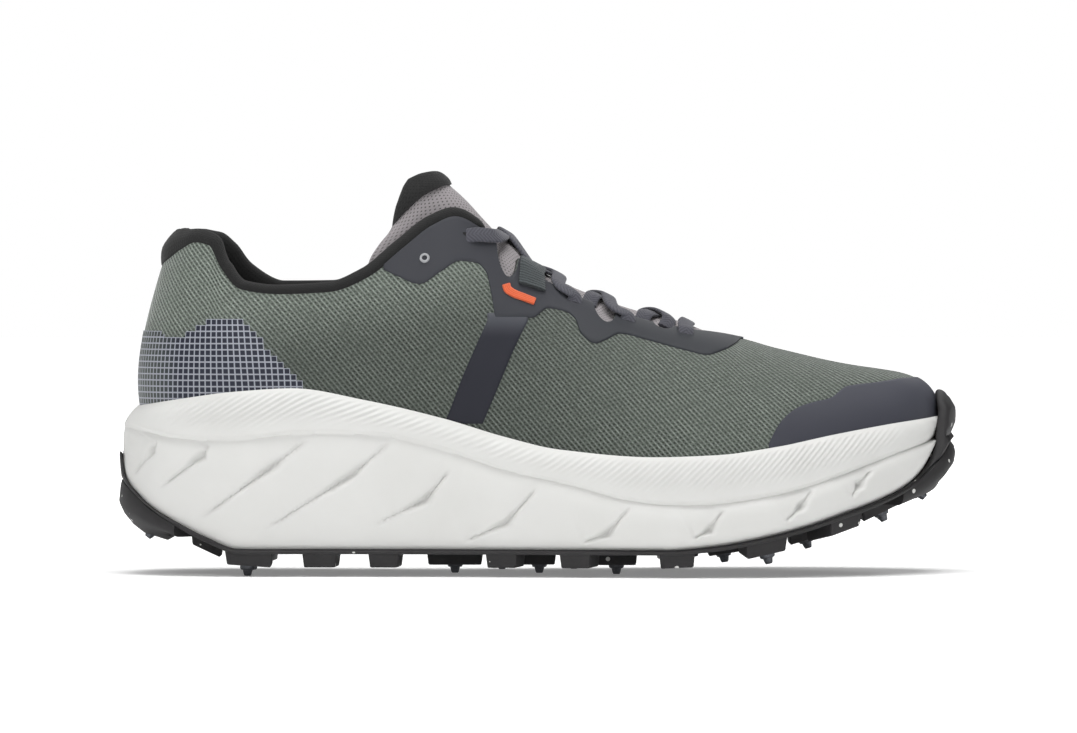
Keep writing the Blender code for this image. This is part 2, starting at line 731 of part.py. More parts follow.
def make_upper():
    """Hollow mesh upper, open at collar, throat and underneath."""
    p, s = np.meshgrid(AROUND, np.array(UPPER_ROWS), indexing="ij")
    normal = wall_normal(p, s)
    ids = np.arange(p.size).reshape(p.shape)
    count = len(AROUND)
    for k in range(1, count // 2):
        if AROUND[k] >= THROAT_FRONT - 1e-6:
            partner = count - k
            ids[partner, -1] = ids[k, -1]
            normal[k, -1] = unit(normal[k, -1] + normal[partner, -1])
    outer = wall(p, s)
    faces = quads(ids, ring=True)
    add("upper", *shell(outer, outer - UPPER_WALL * normal, faces), "green_mesh")


def overlay(name, p, s, finish, lift=OVERLAY_LIFT):
    """A film on the upper over a grid of p and s, columns first."""
    ids = np.arange(p.size).reshape(p.shape)
    add(name, *shell(skin(p, s, lift + OVERLAY_THICKNESS), skin(p, s, lift), quads(ids)), finish)


def between(low, high, shares):
    """Rows of s between two edges, one column for each place along them."""
    return low[:, None] + (high - low)[:, None] * np.array(shares)


def above_rim(x):
    """Lower edge of the overlays that run down to the midsole."""
    return line(RIM, x) + RIM_CLEARANCE


def make_toe_cap():
    """Film round the toe, from the sole's rim to its stepped upper edge."""
    t = np.concatenate((np.linspace(0.756, 0.88, 11), np.linspace(0.9, 1.0, 6)))
    p = np.concatenate((t, 2 - t[-2::-1]))
    low = height_on_wall(p, above_rim)
    high = height_on_wall(p, lambda x: line(TOE_CAP_EDGE, x))
    s = between(low, np.maximum(high, low + 0.02), (0, 0.33, 0.67, 1))
    overlay("toe_cap", np.repeat(p[:, None], s.shape[1], axis=1), s, "toe_film")


def make_heel_counter():
    """Film round the heel, with its waved upper edge."""
    t = np.concatenate((np.linspace(0, 0.06, 5), np.linspace(0.072, 0.222, 13)))
    p = np.concatenate((-t[:0:-1], t))
    low = height_on_wall(p, above_rim)
    high = height_on_wall(p, lambda x: line(COUNTER_EDGE, x))
    s = between(low, np.maximum(high, low + 0.02), (0, 0.5, 1))
    overlay("heel_counter", np.repeat(p[:, None], s.shape[1], axis=1), s, "grid_film")


def make_eyestay():
    """Film along both sides of the throat, joined in front of it."""
    t = np.concatenate((np.linspace(0.318, 0.44, 13), np.linspace(0.4475, 0.54, 10)[:-1],
                        np.linspace(0.54, 0.68, 11)[:-1], (0.68, 0.7, THROAT_FRONT, 0.731)))
    p = np.concatenate((t, 2 - t[::-1]))
    low = height_on_wall(p, lambda x: line(EYESTAY_EDGE, x))
    high = np.where(np.minimum(p, 2 - p) >= THROAT_FRONT - 1e-6, 1.0, 0.985)
    s = between(np.minimum(low, high - 0.03), high, (0, 0.5, 1))
    p = np.repeat(p[:, None], s.shape[1], axis=1)
    ids = np.arange(p.size).reshape(p.shape)
    count, half = len(ids), len(t)
    normal = wall_normal(p, s)
    for k in range(half):
        if t[k] >= THROAT_FRONT - 1e-6:
            partner = count - 1 - k
            ids[partner, -1] = ids[k, -1]
            normal[k, -1] = unit(normal[k, -1] + normal[partner, -1])
    faces = quads(ids[:half]) + quads(ids[half:])
    base = wall(p, s)
    add("eyestay", *shell(base + OVERLAY_FACE * normal, base + OVERLAY_LIFT * normal, faces), "grey_film")


def make_straps():
    """Midfoot straps from the eyestay down to the sole's rim, one each side."""
    share = np.linspace(0, 1, 3)
    z = np.repeat(STRAP["z"][:, None], len(share), axis=1)
    x = STRAP["x_rear"][:, None] * (1 - share) + STRAP["x_front"][:, None] * share
    for side, name in ((-1, "strap_lateral"), (1, "strap_medial")):
        p, s = on_wall(side, x, z)
        order = slice(None, None, -side)
        overlay(name, p[order], s[order], "navy_film")


def make_collar():
    """Padded binding round the collar, from one top corner of the throat to the other."""
    t = STATIONS[STATIONS < COLLAR_END]
    p = np.concatenate((-t[:0:-1], t))
    brink = np.ones_like(p)
    edge, normal = wall(p, brink), wall_normal(p, brink)
    run = unit(wall(p + 1e-3, brink) - wall(p - 1e-3, brink))
    climb = unit(np.cross(run, normal))
    climb *= np.sign(climb[:, 2:])
    height, roll, pad, hang = (along(COLLAR, name, p) for name in ("height", "roll", "pad", "hang"))
    inside = UPPER_WALL + GAP

    def placed(out, up):
        return edge + out[:, None] * normal + up[:, None] * climb

    def hung(depth, down):
        low = 1 - down / (edge[:, 2] - foot(p)[:, 2])
        return wall(p, low) - depth[:, None] * wall_normal(p, low)

    rings = np.stack((
        placed(0.2 * roll, GAP * brink),
        placed(roll, 0.45 * height),
        placed(-0.35 * pad, height),
        placed(-0.8 * pad, 0.7 * height),
        hung(pad + 0.3, 0.4 * hang),
        hung((inside + 0.2) * brink, hang),
        placed(-inside * brink, GAP * brink),
    ), axis=1)
    add("collar", *facing_out(*prism(rings)), "dark_textile")


def tongue_arc(rows):
    """Points across the tongue's free end: a half ellipse from edge to edge over the centre line."""
    turn = np.linspace(-0.5, 0.5, 7) * math.pi
    back = 1 - np.cos(turn)
    x = rows["x_centre"][:, None] + (rows["x_edge"] - rows["x_centre"])[:, None] * back
    z = rows["z_centre"][:, None] + (rows["z_edge"] - rows["z_centre"])[:, None] * back
    y = AXIS_Y + rows["half_width"][:, None] * np.sin(turn)
    return np.stack((x, y, z), axis=-1)


def padded_sheet(name, points, thickness, finish):
    """A sheet given as rows across, made solid on its under side."""
    run = np.gradient(points, axis=0)
    across = np.gradient(points, axis=1)
    normal = unit(np.cross(across, run))
    ids = np.arange(points.shape[0] * points.shape[1]).reshape(points.shape[:2])
    under = points - thickness[:, None, None] * normal
    return add(name, *facing_out(*shell(points, under, quads(ids))), finish)


def make_tongue():
    """Padded tongue under the throat, with its free end and black tip."""
    t = np.array((0.755, 0.72, 0.69, 0.65, 0.60, 0.55, 0.50, 0.465))
    spread = np.array((0.86, 0.93, 0.995))
    under = -UPPER_WALL - 2 * GAP
    lateral = skin(t[:, None], spread, under)
    medial = skin(2 - t[:, None], spread[::-1], under)
    across = medial[:, 0] - lateral[:, -1]
    rise = np.minimum(1.0, 0.08 * across[:, 1:2])
    crown = lateral[:, -1] + 0.5 * across + rise * UP
    throat = np.concatenate((lateral, crown[:, None], medial), axis=1)
    points = np.concatenate((throat, tongue_arc(TONGUE_END)))
    thickness = np.concatenate((np.full(len(t), 2.6), (3.2, 4.0, 4.4)))
    padded_sheet("tongue", points, thickness, "grey_knit")
    padded_sheet("tongue_tip", tongue_arc(TONGUE_TIP), np.array((4.4, 4.6, 4.0, 2.4)), "dark_textile")


def ribbon(places, width, thickness, count):
    """A flat band through a few places, each a point and the direction its face looks."""
    points, faces_up = (np.array([place[k] for place in places]) for k in (0, 1))
    knots = np.concatenate(([0], np.cumsum(np.linalg.norm(np.diff(points, axis=0), axis=1))))
    at = np.linspace(0, knots[-1], count)
    route, face = (
        np.stack([hermite(knots, set_of[:, k], flowing(knots, set_of[:, k]), at) for k in range(3)], axis=1)
        for set_of in (points, faces_up)
    )
    run = unit(np.gradient(route, axis=0))
    flat = unit(np.cross(face, run)) * width / 2
    deep = unit(np.cross(run, flat)) * thickness / 2
    corners = (flat + deep, deep - flat, -flat - deep, flat - deep)
    return facing_out(*prism(np.stack([route + corner for corner in corners], axis=1)))


def on_eyestay(side, t, s, thickness):
    """The middle of a band that lies on the eyestay, and the direction its face looks."""
    p = np.array(side_p(side, t))
    lift = OVERLAY_FACE + GAP + BAND_CLEARANCE + thickness / 2
    return skin(p, np.array(s), lift), wall_normal(p, np.array(s))


def over_throat(side, t, share, rise):
    """A place over the throat, a share of the way from one edge to the middle."""
    edge, other = (wall(np.array(side_p(k, t)), np.array(1.0)) for k in (side, -side))
    return edge + 0.5 * share * (other - edge) + rise * THROAT_UP, THROAT_UP


def lace_run(side, low_row, high_row):
    """A lace run from one side of the throat, over the tongue, to the other side's next row."""
    t_low, t_high = LACE_ROWS["t"][low_row], LACE_ROWS["t"][high_row]
    if low_row == LOOP_ROW:
        start = over_throat(side, t_low, LOOP_SHARE, LOOP_LACE_RISE)
    else:
        t_low = 0.7 * t_low + 0.3 * t_high
        start = over_throat(side, t_low, LACE_START_SHARE, LACE_START_RISE)
    places = [start, over_throat(side, 0.5 * (t_low + t_high), 1.0, LACE_CROWN)]
    if high_row == LOOP_ROW:
        places.append(over_throat(-side, t_high, LOOP_SHARE, LOOP_LACE_RISE))
    else:
        places.append(on_eyestay(-side, LACE_ROWS["t_edge"][high_row], EDGE_S, LACE_THICKNESS))
        places.append(on_eyestay(-side, t_high, LACE_ROWS["s"][high_row], LACE_THICKNESS))
    return ribbon(places, LACE_WIDTH, LACE_THICKNESS, 8)


def make_laces():
    """Lace bar at the front of the throat and the joined crossings above it."""
    t, s = LACE_ROWS["t"][0], LACE_ROWS["s"][0]
    places = [on_eyestay(-1, t, s, LACE_THICKNESS), on_eyestay(-1, t, EDGE_S, LACE_THICKNESS)]
    places.append(over_throat(-1, t, 1.0, LACE_CROWN))
    places += [on_eyestay(1, t, EDGE_S, LACE_THICKNESS), on_eyestay(1, t, s, LACE_THICKNESS)]
    add("lace_bar", *ribbon(places, LACE_WIDTH, LACE_THICKNESS, 9), "lace_weave")
    for row in range(len(LACE_ROWS["t"]) - 1):
        runs = [lace_run(side, row, row + 1) for side in (-1, 1)]
        if row != LOOP_ROW:
            lace = add(f"lace_cross_{row + 1}", *runs.pop(), "lace_weave")
        for run in runs:
            cut(lace, add("lace_run", *run, "lace_weave"), "UNION")


def make_lace_loops():
    """Webbing loops that hold the lace half way up the throat, and the tab below the lateral one."""
    t = LACE_ROWS["t"][LOOP_ROW]
    for side, name in ((-1, "lace_loop_lateral"), (1, "lace_loop_medial")):
        places = [on_eyestay(side, t, s, LOOP_THICKNESS) for s in (LOOP_ROOT, EDGE_S)]
        places.append(over_throat(side, t, 0.3, LOOP_RISE))
        add(name, *ribbon(places, LOOP_WIDTH, LOOP_THICKNESS, 7), "lace_weave")
    share = np.linspace(0, 1, 4)[:, None]
    x = np.repeat(TAG_REAR[0] + share * (TAG_FRONT[0] - TAG_REAR[0]), 2, axis=1)
    z = TAG_REAR[1] + share * (TAG_FRONT[1] - TAG_REAR[1]) + TAG_HEIGHT * np.array((-0.5, 0.5))
    p, s = on_wall(-1, x, z)
    overlay("side_tag", p, s, "orange_tab", lift=OVERLAY_FACE + GAP)


def make_eyelets():
    """Spare heel-lock eyelets near the collar's front, one each side."""
    for side, name in ((-1, "eyelet_lateral"), (1, "eyelet_medial")):
        p, s = on_wall(side, *EYELET_PLACE)
        normal = wall_normal(p, s)
        across = unit(np.cross(normal, UP))
        rise = np.cross(across, normal)
        low = skin(p, s, OVERLAY_FACE + GAP)
        high = low + EYELET_THICKNESS * normal
        angles = np.arange(EYELET_SIDES) * math.tau / EYELET_SIDES
        spokes = np.cos(angles)[:, None] * across + np.sin(angles)[:, None] * rise
        section = [low + EYELET_HOLE_RADIUS * spokes, low + EYELET_RADIUS * spokes,
                   high + (EYELET_RADIUS - EYELET_CHAMFER) * spokes, high + EYELET_HOLE_RADIUS * spokes]
        points = np.stack(section, axis=1)
        ids = np.arange(points.shape[0] * points.shape[1]).reshape(points.shape[:2])
        faces = quads(np.concatenate((ids, ids[:, :1]), axis=1), ring=True)
        add(name, *facing_out(points, faces), "eyelet_grey")


def main():
    """Clear the scene and make every piece."""
    for old in list(bpy.data.objects):
        bpy.data.objects.remove(old)
    make_outsole()
    make_midsole()
    make_insole()
    make_upper()
    make_tongue()
    make_toe_cap()
    make_heel_counter()
    make_eyestay()
    make_straps()
    make_collar()
    make_laces()
    make_lace_loops()
    make_eyelets()


main()
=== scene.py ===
"""Looks of a studded winter running shoe, right foot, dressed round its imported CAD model.

Lengths are millimetres in this file and become metres where each mesh is made.
+X points to the toe, -Y to the outer (lateral) side and +Z up, with the floor at z = 0.

The upper is one smooth surface, Last.wall(p, s). p runs from 0 at the heel to 1 at the toe along the
lateral side and on to 2 back along the medial side. s runs from 0 at the sole to 1 at the top edge.
Every other piece is set off from that surface or from the sole's lines in side view.
"""

from __future__ import annotations

import logging
import math
from dataclasses import dataclass
from enum import Enum
from functools import partial
from typing import Any, Callable, ClassVar, Mapping, Sequence

import bmesh
import bpy
import numpy as np
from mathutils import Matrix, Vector

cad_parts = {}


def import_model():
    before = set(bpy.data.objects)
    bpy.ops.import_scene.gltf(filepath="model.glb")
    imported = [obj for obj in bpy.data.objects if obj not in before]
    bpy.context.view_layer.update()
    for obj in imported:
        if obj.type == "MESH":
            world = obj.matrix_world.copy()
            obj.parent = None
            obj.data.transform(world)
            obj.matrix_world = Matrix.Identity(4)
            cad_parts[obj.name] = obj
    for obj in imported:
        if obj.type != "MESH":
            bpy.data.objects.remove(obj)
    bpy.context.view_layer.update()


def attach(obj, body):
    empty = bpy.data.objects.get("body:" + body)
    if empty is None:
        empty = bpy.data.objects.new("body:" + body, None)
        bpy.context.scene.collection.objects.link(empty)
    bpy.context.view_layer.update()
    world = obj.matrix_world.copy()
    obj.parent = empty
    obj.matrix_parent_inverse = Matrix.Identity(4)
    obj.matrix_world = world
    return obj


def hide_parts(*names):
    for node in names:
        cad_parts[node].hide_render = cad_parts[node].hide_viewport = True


LOG = logging.getLogger("winter_shoe")
MM = 0.001
UP = np.array((0.0, 0.0, 1.0))
UV_NAME = "millimetres"

Array = np.ndarray
Table = dict[str, Array]
Faces = list[tuple[int, ...]]
Line = Callable[[Array], Array]
Solid = tuple[Array, Faces]
Band = tuple[Array, Faces, Array]
Spot = tuple[Array, Array]
Adder = Callable[..., bpy.types.NodeSocket]


class Side(Enum):
    """The two sides of the shoe, with the sign of their Y."""

    LATERAL = -1
    MEDIAL = 1

    def p_at(self, t: Any) -> Any:
        """Place around the shoe of t, counted from heel to toe on this side."""
        return t if self is Side.LATERAL else 2 - t

    def named(self, piece: str) -> str:
        """CAD node of a piece on this side."""
        return f"{piece}_{self.name.lower()}"

    def other(self) -> "Side":
        """The opposite side."""
        return Side(-self.value)


class Slot(Enum):
    """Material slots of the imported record."""

    UPPER = "upper_mesh"
    MIDSOLE = "midsole_foam"
    OUTSOLE = "outsole_rubber"
    STUD = "stud_steel"
    LINING = "lining"
    TONGUE = "tongue_knit"
    EYESTAY = "eyestay_film"
    STRAP = "strap_film"
    TOE = "toe_film"
    GRID = "grid_film"
    LACE = "lace_weave"
    WEBBING = "webbing"
    TAB = "orange_tab"
    EYELET = "eyelet_grey"


def table(names: str, *rows: Sequence[float]) -> Table:
    """Return a short table as one array for each named column.

    Args:
        names: column names, parted by spaces.
        rows: the table's rows.

    Returns:
        The columns by name.
    """
    return dict(zip(names.split(), np.array(rows, dtype=float).T))


# Outline of the upper where it meets the cup's floor
FOOTPRINT = table(
    "t     x_lateral y_lateral x_medial y_medial",
    (0.00, -139.5, 2.5, -139.5, 2.5),
    (0.08, -129.5, -20.0, -129.5, 24.5),
    (0.15, -109.0, -30.0, -109.0, 33.5),
    (0.25, -76.0, -31.5, -77.0, 33.0),
    (0.39, -31.0, -35.0, -32.0, 32.0),
    (0.53, 14.0, -42.0, 14.0, 37.5),
    (0.65, 53.0, -47.5, 52.0, 45.0),
    (0.76, 88.0, -44.0, 88.0, 47.5),
    (0.86, 117.0, -30.5, 117.0, 41.5),
    (0.94, 135.0, -11.5, 136.0, 27.5),
    (1.00, 141.0, 9.5, 141.0, 9.5),
)

# Top edge: collar to t 0.425, throat to t 0.72, then the ridge of the vamp
TOPLINE = table(
    "t      x       y_lateral y_medial z_lateral z_medial",
    (0.000, -134.5, 2.5, 2.5, 110.5, 110.5),
    (0.030, -132.6, -6.0, 11.0, 112.3, 112.3),
    (0.060, -127.5, -13.0, 18.0, 116.0, 116.0),
    (0.090, -121.8, -18.0, 23.0, 118.7, 118.7),
    (0.120, -116.8, -21.3, 26.3, 117.6, 118.5),
    (0.145, -112.0, -23.5, 28.5, 109.0, 115.5),
    (0.175, -105.0, -25.8, 30.8, 101.9, 108.0),
    (0.210, -92.0, -27.3, 32.3, 100.3, 101.5),
    (0.260, -74.0, -27.0, 32.0, 101.1, 101.3),
    (0.300, -61.0, -25.5, 30.5, 106.0, 106.0),
    (0.340, -47.5, -22.5, 27.5, 116.8, 116.8),
    (0.370, -37.5, -20.0, 25.0, 124.5, 124.5),
    (0.395, -29.5, -18.3, 23.3, 127.6, 127.6),
    (0.425, -20.4, -16.8, 21.8, 123.5, 123.5),
    (0.460, -9.0, -15.0, 20.0, 114.5, 114.5),
    (0.500, 3.0, -13.5, 18.5, 104.5, 104.5),
    (0.550, 19.0, -12.0, 17.0, 97.0, 97.0),
    (0.610, 37.0, -10.0, 16.0, 90.8, 90.8),
    (0.660, 54.0, -7.0, 14.0, 87.2, 87.2),
    (0.700, 66.5, -2.5, 9.5, 85.4, 85.4),
    (0.720, 72.0, 3.8, 3.8, 84.3, 84.3),
    (0.770, 86.0, 4.4, 4.4, 80.4, 80.4),
    (0.860, 103.0, 5.5, 5.5, 76.3, 76.3),
    (0.930, 113.0, 6.8, 6.8, 74.1, 74.1),
    (1.000, 117.5, 7.5, 7.5, 73.0, 73.0),
)

# Handles of each section's curve: rise and swell at the sole; reach, flare and drop at the top edge
WALL_SHAPE = table(
    "t     rise  swell reach flare drop",
    (0.00, 18.0, 7.0, 0.30, 6.0, 24.5),
    (0.15, 18.0, 4.5, 0.30, 5.0, 20.0),
    (0.25, 18.0, 4.0, 0.35, 3.0, 18.0),
    (0.39, 28.0, 4.0, 0.55, 3.0, 28.0),
    (0.53, 24.0, 4.0, 0.60, 1.0, 10.0),
    (0.65, 22.0, 4.0, 0.60, 0.0, 7.0),
    (0.76, 20.0, 3.5, 0.62, 0.0, 1.5),
    (0.86, 17.0, 4.0, 0.70, 0.0, 0.8),
    (1.00, 17.0, 6.5, 1.03, 0.0, 0.0),
)

# How far the midsole's side stands out from the footprint
FLARE = table(
    "t     out",
    (0.00, 9.3), (0.15, 9.0), (0.30, 8.0), (0.45, 7.0), (0.60, 6.3), (0.76, 6.0), (0.93, 5.0), (1.00, 3.0),
)

# Lines of the sole in side view
FOOTBED = table(
    "x      z",
    (-150, 50.0), (-100, 47.5), (-40, 43.0), (20, 34.0), (55, 30.5), (90, 33.5), (120, 40.0), (145, 47.0),
)
RIM = table(
    "x      z",
    (-142, 59.8), (-128, 62.3), (-106, 65.3), (-87, 66.4), (-61, 62.2), (-33, 55.7), (-11, 49.2),
    (8, 44.9), (41, 42.3), (63, 43.0), (84, 45.8), (104, 49.9), (125, 53.6), (142, 56.0),
)
STEP = table(
    "x      z",
    (-146, 52.3), (-125, 48.6), (-111, 48.3), (-84, 50.5), (-71, 50.8), (-57, 50.1), (-33, 44.8),
    (-15, 38.8), (15, 31.7), (30, 27.7), (46, 25.8), (57, 25.8), (83, 29.0), (104, 34.9), (125, 42.6),
    (142, 48.3),
)
UNDER = table(
    "x      z",
    (-149, 35.0), (-144, 30.4), (-137, 24.2), (-126, 17.9), (-117, 13.5), (-106, 9.6), (-100, 9.5), (46, 9.5),
    (60, 10.6), (73, 12.6), (94, 17.6), (109, 22.6), (120, 26.5), (130, 31.3), (136, 36.3), (140, 41.8),
    (142.4, 46.3), (146, 52.0),
)

# Share of the lower edge's inset that is left along the shoe: the sole stands upright round its two ends
FULLNESS = table(
    "t     share",
    (0.00, 0.2), (0.05, 0.3), (0.11, 0.7), (0.18, 1.0), (0.92, 1.0), (0.97, 0.7), (1.00, 0.5),
)

# Height of the outsole's upturned edge above the midsole's lower edge
UPTURN = table(
    "t     height",
    (0.00, 9.3), (0.014, 9.0), (0.026, 2.0), (0.045, 0.4), (0.940, 0.4), (0.955, 3.0), (0.966, 13.0),
    (0.976, 18.2), (1.00, 19.2),
)
# Inner and outer faces of that edge, measured out from the midsole's side
UPTURN_FACES = table(
    "t     inner outer",
    (0.00, 0.0, 0.6), (0.06, 0.0, 1.3), (0.90, 0.0, 1.3), (0.940, 0.3, 2.0), (0.960, 0.6, 3.8),
    (1.00, 0.6, 4.4),
)

# How much deeper than the other lugs the rubber reaches along the shoe
EXTRA_DEPTH = table(
    "x      z",
    (-150, 9.0), (-142.2, 5.2), (-137.5, 2.7), (-131.6, 1.2), (-126, 0.0), (56, 0.0), (60, -1.8), (72, -1.8),
    (74, 0.0), (118, 0.0), (126, -0.9), (135, 1.0), (137.4, 2.4), (144, 9.2),
)

# Edges of the overlays in side view
EYESTAY_EDGE = table(
    "x      z",
    (-56, 109.2), (-50, 106.3), (-42, 103.5), (-34.5, 107.9), (-27.6, 111.7), (-22, 111.0),
    (-18.5, 107.8), (-16.2, 98.0), (-15, 91.5), (-2, 91.5), (3.5, 94.8), (9.3, 93.8), (13.1, 91.2),
    (15.2, 86.0), (20.5, 82.4), (24, 83.6), (29, 85.8), (38.7, 83.6), (53.3, 79.7), (60, 78.3),
    (66.2, 80.0), (70, 81.9), (74, 85.0),
)
TOE_CAP_EDGE = table(
    "x      z",
    (81, 46.5), (84.8, 53.6), (88.1, 57.3), (92.4, 60.1), (97.4, 61.7), (103.3, 63.0), (110, 67.2),
    (119.6, 68.3), (130, 69.8),
)
COUNTER_EDGE = table(
    "x      z",
    (-140.3, 87.4), (-134.6, 85.9), (-128.2, 83.8), (-121, 88.1), (-113.8, 92.0), (-108.0, 92.0),
    (-99.8, 85.2), (-90.9, 75.5), (-82.6, 66.9),
)
STRAP = table(
    "z     x_rear x_front",
    (90.6, -18.0, -3.4), (81.3, -22.2, -8.0), (70.9, -26.7, -12.4), (59.5, -31.0, -17.2),
)

# Collar section: height, outward roll, padding towards the foot and how far the padding hangs inside
COLLAR = table(
    "t     height roll pad  hang",
    (0.000, 14.0, 1.8, 6.0, 9.0),
    (0.050, 10.5, 1.4, 6.0, 9.0),
    (0.090, 5.4, 0.9, 6.0, 9.0),
    (0.145, 4.2, 0.7, 5.8, 9.0),
    (0.200, 3.6, 0.6, 5.4, 9.0),
    (0.300, 4.0, 0.7, 4.6, 7.0),
    (0.370, 4.2, 0.8, 3.4, 5.0),
    (0.435, 3.4, 0.7, 3.0, 3.0),
)

# Free end of the tongue above the throat, as centre line and side edge
TONGUE_END = table(
    "x_centre z_centre x_edge half_width z_edge bow",
    (-19.5, 126.6, -60.5, 19.0, 110.0, 1.0),
    (-25.6, 133.3, -56.6, 18.0, 117.8, 1.0),
    (-31.0, 138.2, -51.6, 15.8, 125.6, 1.3),
    (-33.6, 140.4, -50.4, 14.6, 130.5, 1.5),
)
TONGUE_TIP = table(
    "x_centre z_centre x_edge half_width z_edge bow",
    (-31.4, 138.9, -52.0, 16.0, 124.4, 1.65),
    (-32.6, 141.0, -50.3, 14.4, 133.0, 1.4),
    (-35.2, 142.9, -48.8, 11.6, 138.2, 1.5),
    (-39.4, 143.9, -46.0, 7.8, 141.6, 2.2),
)

# Lugs along both edges of the outsole, and lugs down its middle
EDGE_LUGS = table(
    "x_rear x_front depth",
    (-111.0, -93.9, 24), (-83.4, -71.2, 20), (-60.1, -49.1, 18), (-18.6, -7.5, 20), (7.5, 18.5, 22),
    (42.6, 55.3, 26), (73.4, 88.1, 26), (103.6, 114.8, 22),
)
MIDDLE_LUGS = table(
    "x_rear x_front y_lateral y_medial",
    (-144.0, -130.5, -14, 19), (-124.0, -113.0, -8, 13), (-39.7, -19.5, -13, 17), (-7.0, 6.6, -12, 13),
    (19.0, 35.5, -17, 15), (60.5, 72.5, -13, 17), (89.5, 102.8, -14, 18), (115.5, 129.5, -17, 27),
    (131.2, 143.0, -6, 21),
)
STUDS = table(
    "x      y",
    (-137.5, -7.0), (-137.5, 12.0), (-103.0, -27.0), (-103.0, 31.0), (-29.7, 2.0), (-13.0, 36.0),
    (0.5, 0.5), (28.0, -11.0), (13.0, 39.0), (49.0, 45.0), (66.5, 2.0), (80.9, -42.0), (80.9, 43.0),
    (96.0, 2.0), (122.5, -8.0), (122.5, 17.0), (136.5, 8.0),
)

# Slanted cuts in the midsole's side: upper end, knee and lower end
SLASHES = table(
    "x_top  z_top x_knee z_knee x_end  z_end",
    (-136.0, 47.3, -137.8, 44.5, -144.5, 35.5),
    (-116.7, 46.9, -119.2, 42.6, -135.0, 30.9),
    (-81.6, 48.4, -94.3, 38.4, -121.2, 19.8),
    (-52.3, 47.8, -65.7, 36.0, -98.9, 15.2),
    (-31.0, 38.0, -39.8, 27.3, -58.7, 18.2),
    (-0.2, 31.7, -11.5, 19.3, -26.9, 12.4),
    (32.5, 25.0, 24.2, 15.6, 14.7, 12.2),
    (65.4, 24.0, 60.5, 17.0, 54.4, 13.8),
    (97.0, 31.0, 93.3, 25.2, 87.0, 19.6),
    (118.5, 37.6, 114.3, 32.6, 111.0, 28.0),
)

# Lace rows: where the lace lies on the film, along the throat and up the section, where it crosses the
# throat's edge, and where it dives into its slot
LACE_ROWS = table(
    "t      s      t_edge t_slot s_slot",
    (0.655, 0.945, 0.655, 0.655, 0.908),
    (0.592, 0.945, 0.578, 0.592, 0.908),
    (0.530, 0.945, 0.516, 0.530, 0.908),
    (0.481, 1.000, 0.481, 0.481, 1.000),
    (0.417, 0.943, 0.437, 0.404, 0.922),
)


def hermite(knots: Array, values: Array, slopes: Array, at: Array) -> Array:
    """Read a cubic curve through the knots.

    Args:
        knots: places along the curve, rising.
        values: values at the knots, with any further axes after the first.
        slopes: slopes at the knots, in the same shape.
        at: places to read.

    Returns:
        The values at those places.
    """
    at = np.clip(at, knots[0], knots[-1])
    k = np.clip(np.searchsorted(knots, at, side="right") - 1, 0, len(knots) - 2)
    span = knots[k + 1] - knots[k]
    u = (at - knots[k]) / span
    further = (1,) * (values.ndim - 1)
    u, span = (part.reshape(part.shape + further) for part in (u, span))
    rest = 1 - u
    start = (1 + 2 * u) * rest ** 2 * values[k] + u * rest ** 2 * span * slopes[k]
    return start + u ** 2 * (3 - 2 * u) * values[k + 1] - u ** 2 * rest * span * slopes[k + 1]


def flowing(knots: Array, values: Array) -> Array:
    """Slopes for a curve that flows smoothly through its rows."""
    return np.gradient(values, knots, axis=0)


def level(knots: Array, values: Array) -> Array:
    """Slopes for a curve that never rises above or falls below its rows.

    Args:
        knots: places along the curve.
        values: values at the knots.

    Returns:
        The slope at each knot.
    """
    grade = np.diff(values) / np.diff(knots)
    before, after = grade[:-1], grade[1:]
    same = before * after > 0
    total = np.where(same, before + after, 1.0)
    inner = np.where(same, 2 * before * after / total, 0.0)
    return np.concatenate((grade[:1], inner, grade[-1:]))


def line(curve: Table, x: Array) -> Array:
    """Height of a side-view line at x."""
    return hermite(curve["x"], curve["z"], level(curve["x"], curve["z"]), x)


def along(curve: Table, column: str, p: Array) -> Array:
    """A column that both sides share, read at p."""
    t = np.minimum(np.mod(p, 2), 2 - np.mod(p, 2))
    return hermite(curve["t"], curve[column], level(curve["t"], curve[column]), t)


def around(curve: Table, lateral: str, medial: str, p: Array,
           slopes: Callable[[Array, Array], Array]) -> Array:
    """Read a pair of lateral and medial columns as one closed ring.

    Args:
        curve: table with a column t.
        lateral: name of the lateral column.
        medial: name of the medial column.
        p: places around the shoe.
        slopes: how the curve runs through its rows, flowing or level.

    Returns:
        The values at p.
    """
    t = curve["t"]
    knots = np.concatenate((t, 2 - t[-2:0:-1]))
    values = np.concatenate((curve[lateral], curve[medial][-2:0:-1]))
    knots = np.concatenate((knots[-3:] - 2, knots, knots[:3] + 2))
    values = np.concatenate((values[-3:], values, values[:3]))
    return hermite(knots, values, slopes(knots, values), np.mod(p, 2))


def unit(vectors: Array) -> Array:
    """Vectors brought to length one."""
    return vectors / np.linalg.norm(vectors, axis=-1, keepdims=True)


def smooth(low: float, high: float, value: Array) -> Array:
    """A soft step from 0 at low to 1 at high."""
    share = np.clip((value - low) / (high - low), 0, 1)
    return share * share * (3 - 2 * share)


def drawn(points: Array, count: int) -> Array:
    """Draw rows of points as smooth curves with more stations.

    Args:
        points: array whose first axis runs along the curves and whose last axis is x, y, z.
        count: stations along the curves.

    Returns:
        The same curves with count stations, evenly spaced along them.
    """
    steps = np.linalg.norm(np.diff(points, axis=0), axis=-1).reshape(len(points) - 1, -1).mean(axis=1)
    knots = np.concatenate(([0.0], np.cumsum(steps)))
    return hermite(knots, points, flowing(knots, points), np.linspace(0, knots[-1], count))


def lengths(points: Array) -> Array:
    """Length along a row of points, from the first one to each."""
    return np.concatenate(([0.0], np.cumsum(np.linalg.norm(np.diff(points, axis=0), axis=1))))


